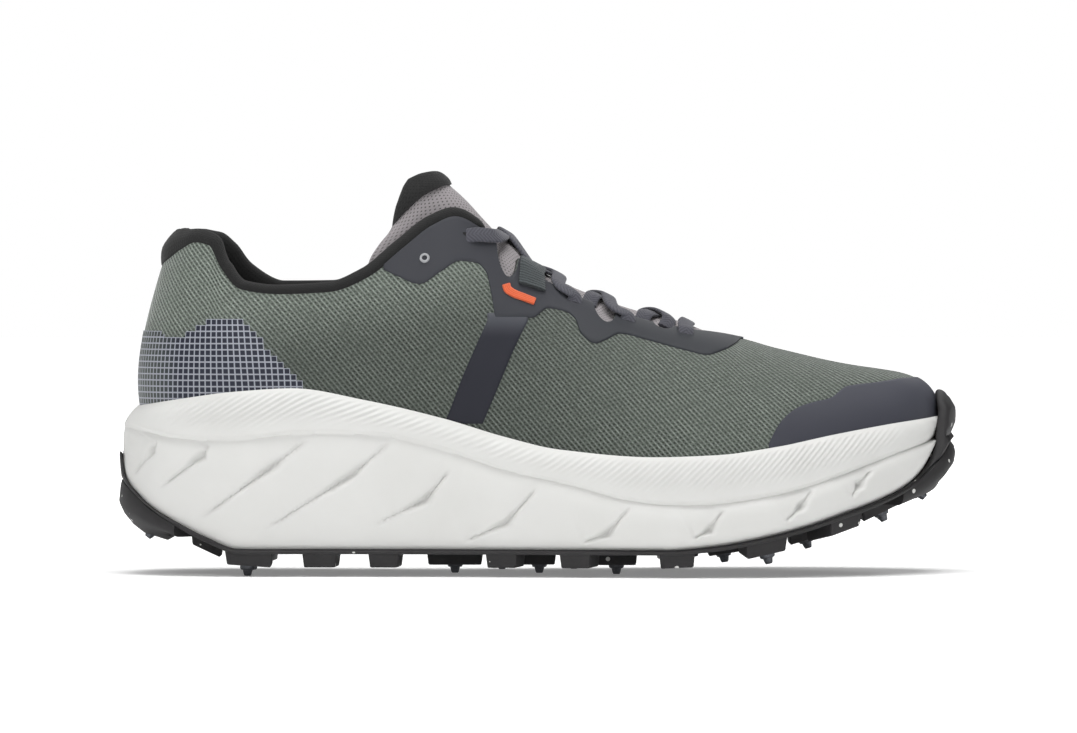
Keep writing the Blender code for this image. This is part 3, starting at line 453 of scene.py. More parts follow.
def from_ends(count: int) -> Array:
    """Steps from each of count places to the nearer end."""
    return np.minimum(np.arange(count), np.arange(count)[::-1])


def flat_map(u: Array, v: Array) -> Array:
    """Map of a grid of points from the places of its columns and rows."""
    return np.stack(np.meshgrid(u, v, indexing="ij"), axis=-1).reshape(-1, 2)


def linear(colour: str) -> tuple[float, float, float, float]:
    """Linear colour from an sRGB hex string.

    Args:
        colour: six hex digits.

    Returns:
        Red, green and blue in linear light, and full opacity.
    """
    channels = [int(colour[k:k + 2], 16) / 255 for k in (0, 2, 4)]
    red, green, blue = (c / 12.92 if c <= 0.04045 else ((c + 0.055) / 1.055) ** 2.4 for c in channels)
    return red, green, blue, 1.0


def feed(tree: bpy.types.NodeTree, node: bpy.types.Node, inputs: Mapping[Any, Any]) -> None:
    """Set a node's sockets.

    Args:
        tree: node tree of the material.
        node: the node.
        inputs: by socket name or number: a socket is linked and a plain value is set.
    """
    for key, value in inputs.items():
        if isinstance(value, bpy.types.NodeSocket):
            tree.links.new(value, node.inputs[key])
        else:
            node.inputs[key].default_value = value


def add_node(tree: bpy.types.NodeTree, kind: str, inputs: Mapping[Any, Any], out: Any = 0,
             **settings: Any) -> bpy.types.NodeSocket:
    """Add a node with its settings and links.

    Args:
        tree: node tree of the material.
        kind: Blender's name of the node type, after ShaderNode.
        inputs: sockets to link and values to set, by socket name or number.
        out: name or number of the output wanted.
        settings: properties of the node.

    Returns:
        The wanted output socket.
    """
    node = tree.nodes.new("ShaderNode" + kind)
    for name, value in settings.items():
        setattr(node, name, value)
    feed(tree, node, inputs)
    return node.outputs[out]


# Settings of nodes that mix two colours, and of ramps with soft ends
COLOUR_MIX = {"out": 2, "data_type": "RGBA"}
SOFT_STEP = {"interpolation_type": "SMOOTHSTEP"}


class Finish:
    """A real material and how its surface was made."""

    title: str

    def inputs(self, add: Adder) -> dict[str, Any]:
        """Lay the finish's nodes with add and give what feeds its shader, by socket name."""
        raise NotImplementedError

    def material(self) -> bpy.types.Material:
        """The finish as a material, made on first use.

        Returns:
            The material.
        """
        made = bpy.data.materials.get(self.title)
        if made is None:
            made = bpy.data.materials.new(self.title)
            made.use_nodes = True
            tree = made.node_tree
            feed(tree, tree.nodes["Principled BSDF"], self.inputs(partial(add_node, tree)))
        return made


def per_metre(size: float) -> float:
    """Scale of a noise whose grains measure size millimetres."""
    return 1 / (size * MM)


@dataclass(frozen=True)
class WarpKnitMesh(Finish):
    """Polyester mesh, warp knitted: slanted ribs crossed by rows of stitches, with pin holes between them.

    Ribs and rows lie as far apart as on the shoe. Single yarns are too fine to show, so their noise is drawn
    half a millimetre wide.
    """

    title: str = "Polyester mesh, warp knitted"
    ground: str = "464C46"
    rib: str = "838983"
    hole: str = "1C201D"
    rib_pitch: float = 1.47
    rib_lean: float = math.radians(41)
    row_pitch: float = 1.39
    row_lean: float = math.radians(-73)
    yarn: float = 0.5
    patch: float = 7.0
    patch_least: float = 0.65
    speckle: float = 0.7
    speckle_least: float = 0.68
    speckle_most: float = 1.32
    relief: float = 0.35

    # Shares of a pitch over which a rib rises, and over which a hole opens along and across the ribs
    rib_span: tuple[float, float] = (0.27, 0.0)
    valley_span: tuple[float, float] = (0.2, 0.46)
    hole_span: tuple[float, float] = (0.12, 0.44)

    # Painted light: the mesh is drawn paler up the heel and forwards along the vamp, standing in for the top
    # light on those parts
    heel_painted_light: float = 1.85
    heel_from: float = 92.0
    heel_to: float = 120.0
    heel_slant: float = -0.2
    fore_painted_light: float = 1.4
    fore_from: float = -15.0
    fore_to: float = 65.0

    def inputs(self, add: Adder) -> dict[str, Any]:
        """Ribs as one wave, holes where its valleys meet a second wave, both uneven, in colour and in relief.

        Args:
            add: adds a node.

        Returns:
            What feeds the shader.
        """
        inside = add("TexCoord", {}, out="Object")
        cloth = add("UVMap", {}, uv_map=UV_NAME)
        waves = []
        for pitch, lean in ((self.rib_pitch, self.rib_lean), (self.row_pitch, self.row_lean)):
            wave = (math.cos(lean) / pitch, math.sin(lean) / pitch, 0)
            count = add("VectorMath", {0: cloth, 1: wave}, out="Value", operation="DOT_PRODUCT")
            waves.append(add("Math", {0: count, 1: 0.5}, operation="PINGPONG"))
        across, along_rib = waves
        ridge, valley, opening = (
            add("MapRange", {"Value": wave, "From Min": start, "From Max": end}, **SOFT_STEP)
            for wave, (start, end) in (
                (across, self.rib_span), (across, self.valley_span), (along_rib, self.hole_span))
        )
        yarn, cloud, dots = (
            add("TexNoise", {"Vector": inside, "Scale": per_metre(size), "Detail": 2.0})
            for size in (self.yarn, self.patch, self.speckle)
        )
        clear = add("MapRange",
                    {"Value": cloud, "From Min": 0.35, "From Max": 0.65, "To Min": self.patch_least})
        clear_valley = add("Math", {0: valley, 1: clear}, operation="MULTIPLY")
        hole = add("Math", {0: clear_valley, 1: opening}, operation="MULTIPLY")
        clear_ridge = add("Math", {0: ridge, 1: clear}, operation="MULTIPLY")
        lit = add("Math", {0: clear_ridge, 1: yarn}, operation="MULTIPLY")
        knitted = add("Mix", {0: lit, 6: linear(self.ground), 7: linear(self.rib)}, **COLOUR_MIX)
        colour = add("Mix", {0: hole, 6: knitted, 7: linear(self.hole)}, **COLOUR_MIX)
        height = add("Math", {0: lit, 1: hole}, operation="SUBTRACT")
        bump = add("Bump", {"Height": height, "Strength": 0.7, "Distance": self.relief * MM})
        tone = add("MapRange",
                   {"Value": dots, "From Min": 0.3, "From Max": 0.7, "To Min": self.speckle_least,
                    "To Max": self.speckle_most})
        # Painted light: the colour is scaled up towards the heel's top and forwards along the vamp
        for way, start, end, most in (((self.heel_slant, 0, 1), self.heel_from, self.heel_to, self.heel_painted_light),
                                      ((1, 0, 0), self.fore_from, self.fore_to, self.fore_painted_light)):
            reach = add("VectorMath", {0: inside, 1: way}, out="Value", operation="DOT_PRODUCT")
            zone = add("MapRange",
                       {"Value": reach, "From Min": start * MM, "From Max": end * MM, "To Min": 1.0,
                        "To Max": most}, **SOFT_STEP)
            tone = add("Math", {0: tone, 1: zone}, operation="MULTIPLY")
        colour_with_painted_light = add("VectorMath", {0: colour, "Scale": tone}, operation="SCALE")
        return {"Base Color": colour_with_painted_light, "Normal": bump, "Roughness": 0.85, "IOR": 1.54,
                "Specular IOR Level": 0.3, "Sheen Weight": 0.3, "Sheen Roughness": 0.35}


@dataclass(frozen=True)
class MouldedFoam(Finish):
    """EVA foam, moulded: white and matt, with a skin of fine pores that softens every edge.

    The pores are finer than the render shows, so they are drawn nearly a millimetre wide.
    """

    title: str = "EVA foam, moulded"
    face: str = "D6D6D4"
    shade: str = "CECECB"
    pore: float = 0.9
    cloud: float = 25.0
    relief: float = 0.05

    def inputs(self, add: Adder) -> dict[str, Any]:
        """Wide faint clouds in the colour and fine pores in the relief.

        Args:
            add: adds a node.

        Returns:
            What feeds the shader.
        """
        inside = add("TexCoord", {}, out="Object")
        cloud, pores = (
            add("TexNoise", {"Vector": inside, "Scale": per_metre(size), "Detail": 3.0})
            for size in (self.cloud, self.pore)
        )
        colour = add("Mix", {0: cloud, 6: linear(self.face), 7: linear(self.shade)}, **COLOUR_MIX)
        bump = add("Bump", {"Height": pores, "Strength": 0.5, "Distance": self.relief * MM})
        rough = add("MapRange", {"Value": pores, "To Min": 0.55, "To Max": 0.75})
        return {"Base Color": colour, "Normal": bump, "Roughness": rough, "IOR": 1.48}


@dataclass(frozen=True)
class FleckedRubber(Finish):
    """Rubber, moulded with ground pale flecks: charcoal and dull, mottled where it has worn lighter."""

    title: str = "Rubber, moulded with pale flecks"
    body: str = "212021"
    worn: str = "302F30"
    fleck: str = "C9C9C6"
    fleck_spacing: float = 5.0
    fleck_size: float = 0.16
    fleck_share: float = 0.55
    mottle: float = 9.0
    grain: float = 0.7
    relief: float = 0.08

    def inputs(self, add: Adder) -> dict[str, Any]:
        """Sparse dots from a scatter of cells, over a mottled body with a fine moulded grain.

        Args:
            add: adds a node.

        Returns:
            What feeds the shader.
        """
        inside = add("TexCoord", {}, out="Object")
        spread = {"Vector": inside, "Scale": per_metre(self.fleck_spacing)}
        near, chance = (add("TexVoronoi", spread, out=name) for name in ("Distance", "Color"))
        close = add("Math", {0: near, 1: self.fleck_size}, operation="LESS_THAN")
        picked = add("Math", {0: chance, 1: self.fleck_share}, operation="GREATER_THAN")
        fleck = add("Math", {0: close, 1: picked}, operation="MULTIPLY")
        mottle, grain = (
            add("TexNoise", {"Vector": inside, "Scale": per_metre(size), "Detail": detail})
            for size, detail in ((self.mottle, 4.0), (self.grain, 3.0))
        )
        body = add("Mix", {0: mottle, 6: linear(self.body), 7: linear(self.worn)}, **COLOUR_MIX)
        colour = add("Mix", {0: fleck, 6: body, 7: linear(self.fleck)}, **COLOUR_MIX)
        bump = add("Bump", {"Height": grain, "Strength": 0.6, "Distance": self.relief * MM})
        return {"Base Color": colour, "Normal": bump, "Roughness": 0.68, "IOR": 1.52,
                "Specular IOR Level": 0.35}


@dataclass(frozen=True)
class TurnedSteel(Finish):
    """Steel, turned and tumbled: grey with blurred highlights and fine scuffs."""

    title: str = "Steel, turned and tumbled"
    bright: str = "66686C"
    dull: str = "3E3F43"
    scuff: float = 0.6

    def inputs(self, add: Adder) -> dict[str, Any]:
        """Scuffs change colour and gloss together.

        Args:
            add: adds a node.

        Returns:
            What feeds the shader.
        """
        inside = add("TexCoord", {}, out="Object")
        scuff = add("TexNoise", {"Vector": inside, "Scale": per_metre(self.scuff), "Detail": 4.0})
        colour = add("Mix", {0: scuff, 6: linear(self.bright), 7: linear(self.dull)}, **COLOUR_MIX)
        rough = add("MapRange", {"Value": scuff, "To Min": 0.25, "To Max": 0.55})
        return {"Base Color": colour, "Metallic": 1.0, "Roughness": rough}


@dataclass(frozen=True)
class BondedFilm(Finish):
    """Polyurethane film, hot bonded: matt and smooth, with the fabric's grain just showing through."""

    title: str
    high: str
    low: str
    high_z: float
    low_z: float
    grain: float = 0.45
    relief: float = 0.05
    gloss: float = 0.03

    def inputs(self, add: Adder) -> dict[str, Any]:
        """Painted light: a soft change of colour down the shoe, lighter towards the top, and a fine grain
        with a thin waxy coat.

        Args:
            add: adds a node.

        Returns:
            What feeds the shader.
        """
        inside = add("TexCoord", {}, out="Object")
        z = add("SeparateXYZ", {0: inside}, out="Z")
        share = add("MapRange",
                    {"Value": z, "From Min": self.low_z * MM, "From Max": self.high_z * MM}, **SOFT_STEP)
        colour = add("Mix", {0: share, 6: linear(self.low), 7: linear(self.high)}, **COLOUR_MIX)
        grain = add("TexNoise", {"Vector": inside, "Scale": per_metre(self.grain), "Detail": 2.0})
        bump = add("Bump", {"Height": grain, "Strength": 0.6, "Distance": self.relief * MM})
        return {"Base Color": colour, "Normal": bump, "Roughness": 0.62, "IOR": 1.5,
                "Specular IOR Level": 0.2, "Coat Weight": self.gloss, "Coat Roughness": 0.45}


@dataclass(frozen=True)
class GridFilm(Finish):
    """Polyurethane film, printed: thin raised pale lines over navy squares, greyer round the back."""

    title: str = "Polyurethane film, printed grid"
    square: str = "1E2230"
    back_square: str = "3E4541"
    stroke: str = "989BA4"
    stroke_share: float = 0.1
    relief: float = 0.12
    back_x: float = -139.0
    side_x: float = -127.0

    def inputs(self, add: Adder) -> dict[str, Any]:
        """Lines where the map's cells meet; the map counts one for each cell.

        Args:
            add: adds a node.

        Returns:
            What feeds the shader.
        """
        cells = add("UVMap", {}, uv_map=UV_NAME)
        counts = [add("SeparateXYZ", {0: cells}, out=axis) for axis in ("X", "Y")]
        columns, rows = (add("Math", {0: count, 1: 0.5}, operation="PINGPONG") for count in counts)
        nearest = add("Math", {0: columns, 1: rows}, operation="MINIMUM")
        stroke = add("MapRange", {"Value": nearest, "From Min": self.stroke_share + 0.04,
                                            "From Max": self.stroke_share - 0.02})
        inside = add("TexCoord", {}, out="Object")
        x = add("SeparateXYZ", {0: inside}, out="X")
        side = add("MapRange",
                   {"Value": x, "From Min": self.back_x * MM, "From Max": self.side_x * MM})
        square = add("Mix", {0: side, 6: linear(self.back_square), 7: linear(self.square)},
                     **COLOUR_MIX)
        colour = add("Mix", {0: stroke, 6: square, 7: linear(self.stroke)}, **COLOUR_MIX)
        bump = add("Bump", {"Height": stroke, "Strength": 0.8, "Distance": self.relief * MM})
        return {"Base Color": colour, "Normal": bump, "Roughness": 0.5, "IOR": 1.5, "Specular IOR Level": 0.3}


@dataclass(frozen=True)
class DottedKnit(Finish):
    """Polyester, circular knitted: soft and dull, with rows of dark pin holes or loops."""

    title: str
    face: str
    hole: str
    pitch: float
    hole_share: float
    fuzz: float = 0.4
    relief: float = 0.2

    def inputs(self, add: Adder) -> dict[str, Any]:
        """Dots at the middles of staggered cells, with fuzz over all.

        Args:
            add: adds a node.

        Returns:
            What feeds the shader.
        """
        cloth = add("UVMap", {}, uv_map=UV_NAME)
        cells = add("VectorMath", {0: cloth, "Scale": 1 / self.pitch}, operation="SCALE")
        column, row = (add("SeparateXYZ", {0: cells}, out=axis) for axis in ("X", "Y"))
        whole = add("Math", {0: row}, operation="FLOOR")
        shifted = add("Math", {0: whole, 1: 0.5, 2: column}, operation="MULTIPLY_ADD")
        columns, rows = (
            add("Math", {0: count, 1: 0.5}, operation="PINGPONG") for count in (shifted, row))
        least = add("Math", {0: columns, 1: rows}, operation="MINIMUM")
        hole = add("MapRange",
                   {"Value": least, "From Min": 0.5 - self.hole_share, "From Max": 0.46}, **SOFT_STEP)
        inside = add("TexCoord", {}, out="Object")
        fuzz = add("TexNoise", {"Vector": inside, "Scale": per_metre(self.fuzz), "Detail": 3.0})
        dark = add("Math", {0: fuzz, 1: 0.25, 2: hole}, operation="MULTIPLY_ADD")
        colour = add("Mix", {0: dark, 6: linear(self.face), 7: linear(self.hole)}, **COLOUR_MIX)
        height = add("Math", {0: fuzz, 1: hole}, operation="SUBTRACT")
        bump = add("Bump", {"Height": height, "Strength": 0.6, "Distance": self.relief * MM})
        return {"Base Color": colour, "Normal": bump, "Roughness": 0.92, "IOR": 1.54,
                "Specular IOR Level": 0.25, "Sheen Weight": 0.06, "Sheen Roughness": 0.6}


@dataclass(frozen=True)
class FlatWeave(Finish):
    """Polyester, flat woven: yarns cross in a slanted plait, or in straight ribs where the lean is zero."""

    title: str
    yarn: str
    shadow: str
    pitch: float
    lean: float
    relief: float = 0.15
    sheen: float = 0.15
    fuzz: float = 0.5

    def inputs(self, add: Adder) -> dict[str, Any]:
        """A wave of yarns, mirrored in the map's middle line.

        Args:
            add: adds a node.

        Returns:
            What feeds the shader.
        """
        cloth = add("UVMap", {}, uv_map=UV_NAME)
        folded = add("VectorMath", {0: cloth}, operation="ABSOLUTE")
        wave = (math.cos(self.lean) / self.pitch, math.sin(self.lean) / self.pitch, 0)
        count = add("VectorMath", {0: folded, 1: wave}, out="Value", operation="DOT_PRODUCT")
        valley = add("Math", {0: count, 1: 0.5}, operation="PINGPONG")
        inside = add("TexCoord", {}, out="Object")
        fuzz = add("TexNoise", {"Vector": inside, "Scale": per_metre(self.fuzz), "Detail": 2.0})
        tone = add("Math", {0: valley, 1: 2.0, 2: fuzz}, operation="MULTIPLY_ADD")
        share = add("MapRange", {"Value": tone, "From Min": 0.4, "From Max": 1.4})
        colour = add("Mix", {0: share, 6: linear(self.shadow), 7: linear(self.yarn)}, **COLOUR_MIX)
        bump = add("Bump", {"Height": share, "Strength": 0.7, "Distance": self.relief * MM})
        return {"Base Color": colour, "Normal": bump, "Roughness": 0.8, "IOR": 1.54,
                "Specular IOR Level": 0.3, "Sheen Weight": self.sheen, "Sheen Roughness": 0.5}


@dataclass(frozen=True)
class PlainSurface(Finish):
    """A plain moulded or melted surface with a faint grain."""

    title: str
    face: str
    roughness: float
    grain: float = 0.5
    relief: float = 0.02

    def inputs(self, add: Adder) -> dict[str, Any]:
        """One colour with a fine grain in its relief.

        Args:
            add: adds a node.

        Returns:
            What feeds the shader.
        """
        inside = add("TexCoord", {}, out="Object")
        grain = add("TexNoise", {"Vector": inside, "Scale": per_metre(self.grain), "Detail": 2.0})
        bump = add("Bump", {"Height": grain, "Strength": 0.4, "Distance": self.relief * MM})
        return {"Base Color": linear(self.face), "Normal": bump, "Roughness": self.roughness, "IOR": 1.5}


@dataclass(frozen=True)
class StudioPaper(Finish):
    """Studio paper, matt and lit from below: plain white, with only the shoe's contact shadow on it."""

    title: str = "Studio paper, lit from below"
    face: str = "F6F6F6"
    dark_radius: float = 250.0
    glow_radius: float = 1000.0
    least_glow: float = 0.2

    def inputs(self, add: Adder) -> dict[str, Any]:
        """White paper that glows more and more away from the shoe.

        Args:
            add: adds a node.

        Returns:
            What feeds the shader.
        """
        inside = add("TexCoord", {}, out="Object")
        away = add("VectorMath", {0: inside}, out="Value", operation="LENGTH")
        glow = add("MapRange", {"Value": away, "From Min": self.dark_radius * MM,
                                          "From Max": self.glow_radius * MM, "To Min": self.least_glow})
        return {"Base Color": linear(self.face), "Roughness": 0.95, "IOR": 1.5,
                "Emission Color": linear("FFFFFF"), "Emission Strength": glow}


# Grey-green and dull, with rows of pin holes that slant back
MESH = WarpKnitMesh()
# White and matt, so that ribs and cuts show as soft shadows
FOAM = MouldedFoam()
# Near black with a few pale specks and hardly any shine
RUBBER = FleckedRubber()
# Dark metal with blurred glints
STEEL = TurnedSteel()
# Smooth films, each drawn a little lighter towards its top as painted light from above: grey, navy and slate
EYESTAY_FILM = BondedFilm("Polyurethane film, bonded, grey", "393A3F", "333539", 100.0, 84.0)
STRAP_FILM = BondedFilm("Polyurethane film, bonded, navy", "4B4D53", "24252D", 94.0, 84.0)
TOE_FILM = BondedFilm("Polyurethane film, bonded, slate", "46474F", "3B3C44", 70.0, 52.0)
# Pale grid over navy
GRID = GridFilm()
# Black and soft; its loops are finer than this and are drawn wide enough to show
LINING = DottedKnit("Polyester jersey, brushed", "202020", "111111", 1.1, 0.3)
# Warm grey with open dark holes
TONGUE_KNIT = DottedKnit("Polyester spacer fabric, knitted", "9D989A", "464344", 1.3, 0.27)
# Dark grey plait; single yarns are finer and are drawn a millimetre wide to show
LACE_WEAVE = FlatWeave("Polyester lace, flat woven", "4C4C54", "393940", 1.0, math.radians(40))
# Grey-green ribs across the loop
WEBBING = FlatWeave("Polyester webbing, ribbed", "414749", "2A2F31", 1.1, 0.0, relief=0.3)
# Bright orange with a silky shine along the tab
TAB_WEAVE = FlatWeave(
    "Polyester satin, woven", "D9633B", "BC4E26", 0.7, math.radians(90), relief=0.08, sheen=0.3)
# Light grey ring with a small soft shine
RING = PlainSurface("Nylon, moulded", "9FA0A3", 0.4)
# Painted shade: black filling where the lace slots and the eyelet holes open, standing in for the shade
# inside them
PAINTED_HOLE_SHADE = PlainSurface("Painted shade in slots and holes", "121214", 0.8)
# White ground that fades into the background
FLOOR_PAPER = StudioPaper()


def quads(*corners: Array) -> Faces:
    """Faces from four equal arrays of corner numbers."""
    return list(map(tuple, np.stack(corners, axis=-1).reshape(-1, 4).tolist()))


def grid_faces(columns: int, rows: int) -> Faces:
    """Faces of a grid of points.

    Args:
        columns: columns of points.
        rows: points in each column, numbered one after the other.

    Returns:
        The faces.
    """
    ids = np.arange(columns * rows).reshape(columns, rows)
    return quads(ids[:-1, :-1], ids[1:, :-1], ids[1:, 1:], ids[:-1, 1:])


def shell(outer: Array, inner: Array, faces: Faces) -> Solid:
    """Close a sheet between its outer and inner points.

    Args:
        outer: points of the outer face.
        inner: points of the inner face, in the same order.
        faces: faces of the outer face.

    Returns:
        All points and the faces of the closed sheet: outer faces, inner faces, then the edges.
    """
    outer, inner = outer.reshape(-1, 3), inner.reshape(-1, 3)
    shift = len(outer)
    directed = {(face[k - 1], face[k]) for face in faces for k in range(len(face))}
    sides = [(b, a, a + shift, b + shift) for a, b in directed if (b, a) not in directed]
    backs = [tuple(i + shift for i in reversed(face)) for face in faces]
    return np.concatenate((outer, inner)), faces + backs + sorted(sides)


def tube(rings: Array) -> Solid:
    """A closed solid through rings of points.

    Args:
        rings: array of rings by points by x, y, z.

    Returns:
        The points and faces.
    """
    count, sides = rings.shape[:2]
    ids = np.arange(count * sides).reshape(count, sides)
    wrapped = np.concatenate((ids, ids[:, :1]), axis=1)
    faces = quads(wrapped[:-1, :-1], wrapped[1:, :-1], wrapped[1:, 1:], wrapped[:-1, 1:])
    return rings.reshape(-1, 3), faces + [tuple(ids[0].tolist()), tuple(ids[-1][::-1].tolist())]


def joined(solids: Sequence[Solid]) -> Solid:
    """Join several meshes.

    Args:
        solids: points and faces of each.

    Returns:
        One list of points and one of faces.
    """
    points, faces, count = [], [], 0
    for solid_points, solid_faces in solids:
        points.append(solid_points.reshape(-1, 3))
        faces += [tuple(i + count for i in face) for face in solid_faces]
        count += len(points[-1])
    return np.concatenate(points), faces


def across_ring(ring: Sequence[int]) -> Faces:
    """Close a ring of columns, from each lateral column to its medial one.

    Args:
        ring: point numbers around the ring.

    Returns:
        The faces.
    """
    count = len(ring)
    half = count // 2
    faces = [(ring[0], ring[1], ring[count - 1])]
    faces += [(ring[k], ring[k + 1], ring[count - k - 1], ring[count - k]) for k in range(1, half - 1)]
    return faces + [(ring[half - 1], ring[half], ring[half + 1])]


def ring_solid(rows: Sequence[Array]) -> Solid:
    """A solid from rows of ring points, closed across its first and last rows.

    Args:
        rows: points around the shoe, row after row.

    Returns:
        The points and faces.
    """
    points = np.stack(rows, axis=1)
    count, levels = points.shape[:2]
    ids = np.arange(count * levels).reshape(count, levels)
    after = np.roll(ids, -1, axis=0)
    faces = quads(ids[:, :-1], ids[:, 1:], after[:, 1:], after[:, :-1])
    last = [face[::-1] for face in across_ring(ids[:, -1].tolist())]
    return points.reshape(-1, 3), faces + across_ring(ids[:, 0].tolist()) + last


def plain_mesh(name: str, points: Array, faces: Faces) -> bpy.types.Object:
    """An undressed object with its faces turned outwards.

    Args:
        name: its name.
        points: points in millimetres.
        faces: point numbers of each face.

    Returns:
        The new object.
    """
    mesh = bpy.data.meshes.new(name)
    mesh.from_pydata((points.reshape(-1, 3) * MM).tolist(), [], faces)
    work = bmesh.new()
    work.from_mesh(mesh)
    bmesh.ops.recalc_face_normals(work, faces=work.faces)
    if work.calc_volume(signed=True) < 0:
        bmesh.ops.reverse_faces(work, faces=work.faces)
    work.to_mesh(mesh)
    work.free()
    made = bpy.data.objects.new(name, mesh)
    bpy.context.collection.objects.link(made)
    return made


def unite(target: bpy.types.Object, extra: bpy.types.Object) -> None:
    """Join one closed solid into another.

    Args:
        target: solid that is kept.
        extra: solid that is joined to it and removed.
    """
    modifier = target.modifiers.new("union", "BOOLEAN")
    modifier.operation = "UNION"
    modifier.object = extra
    graph = bpy.context.evaluated_depsgraph_get()
    mesh = bpy.data.meshes.new_from_object(target.evaluated_get(graph))
    target.modifiers.clear()
    target.data = mesh
    bpy.data.objects.remove(extra)


@dataclass(frozen=True)
class Piece:
    """What a finished piece is called, made of and stands for."""

    name: str
    slot: Slot
    finishes: tuple[Finish, ...]
    nodes: tuple[str, ...]
    sharp: float = 40.0

    def dress(self, made: bpy.types.Object, picks: Array | None = None) -> bpy.types.Object:
        """Give an object its finishes and body, and hide the CAD nodes it stands for.

        Args:
            made: the object.
            picks: number of the finish for each face, where there are several.

        Returns:
            The same object.
        """
        mesh = made.data
        mesh.materials.clear()
        for finish in self.finishes:
            mesh.materials.append(finish.material())
        if picks is not None:
            mesh.polygons.foreach_set("material_index", np.asarray(picks, dtype=np.int32))
        mesh.shade_smooth()
        mesh.set_sharp_from_angle(angle=math.radians(self.sharp))
        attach(made, "root")
        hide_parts(*self.nodes)
        LOG.info("%s: %d faces", self.name, len(mesh.polygons))
        return made

    def build(self, points: Array, faces: Faces, uv: Array | None = None, picks: Array | None = None,
              weld: bool = False) -> bpy.types.Object:
        """Make and dress the piece.

        Args:
            points: points in millimetres.
            faces: point numbers of each face.
            uv: map of each point, in millimetres.
            picks: number of the finish for each face.
            weld: whether points that lie together become one.

        Returns:
            The new object.
        """
        mesh = bpy.data.meshes.new(self.name)
        mesh.from_pydata((points.reshape(-1, 3) * MM).tolist(), [], faces)
        if uv is not None:
            corner = np.empty(len(mesh.loops), dtype=np.int32)
            mesh.loops.foreach_get("vertex_index", corner)
            layer = mesh.uv_layers.new(name=UV_NAME)
            layer.data.foreach_set("uv", uv.reshape(-1, 2)[corner].ravel().astype(np.float32))
        made = bpy.data.objects.new(self.name, mesh)
        bpy.context.collection.objects.link(made)
        self.dress(made, picks)
        work = bmesh.new()
        work.from_mesh(mesh)
        if weld:
            bmesh.ops.remove_doubles(work, verts=work.verts, dist=0.002 * MM)
        bmesh.ops.recalc_face_normals(work, faces=work.faces)
        work.to_mesh(mesh)
        work.free()
        return made


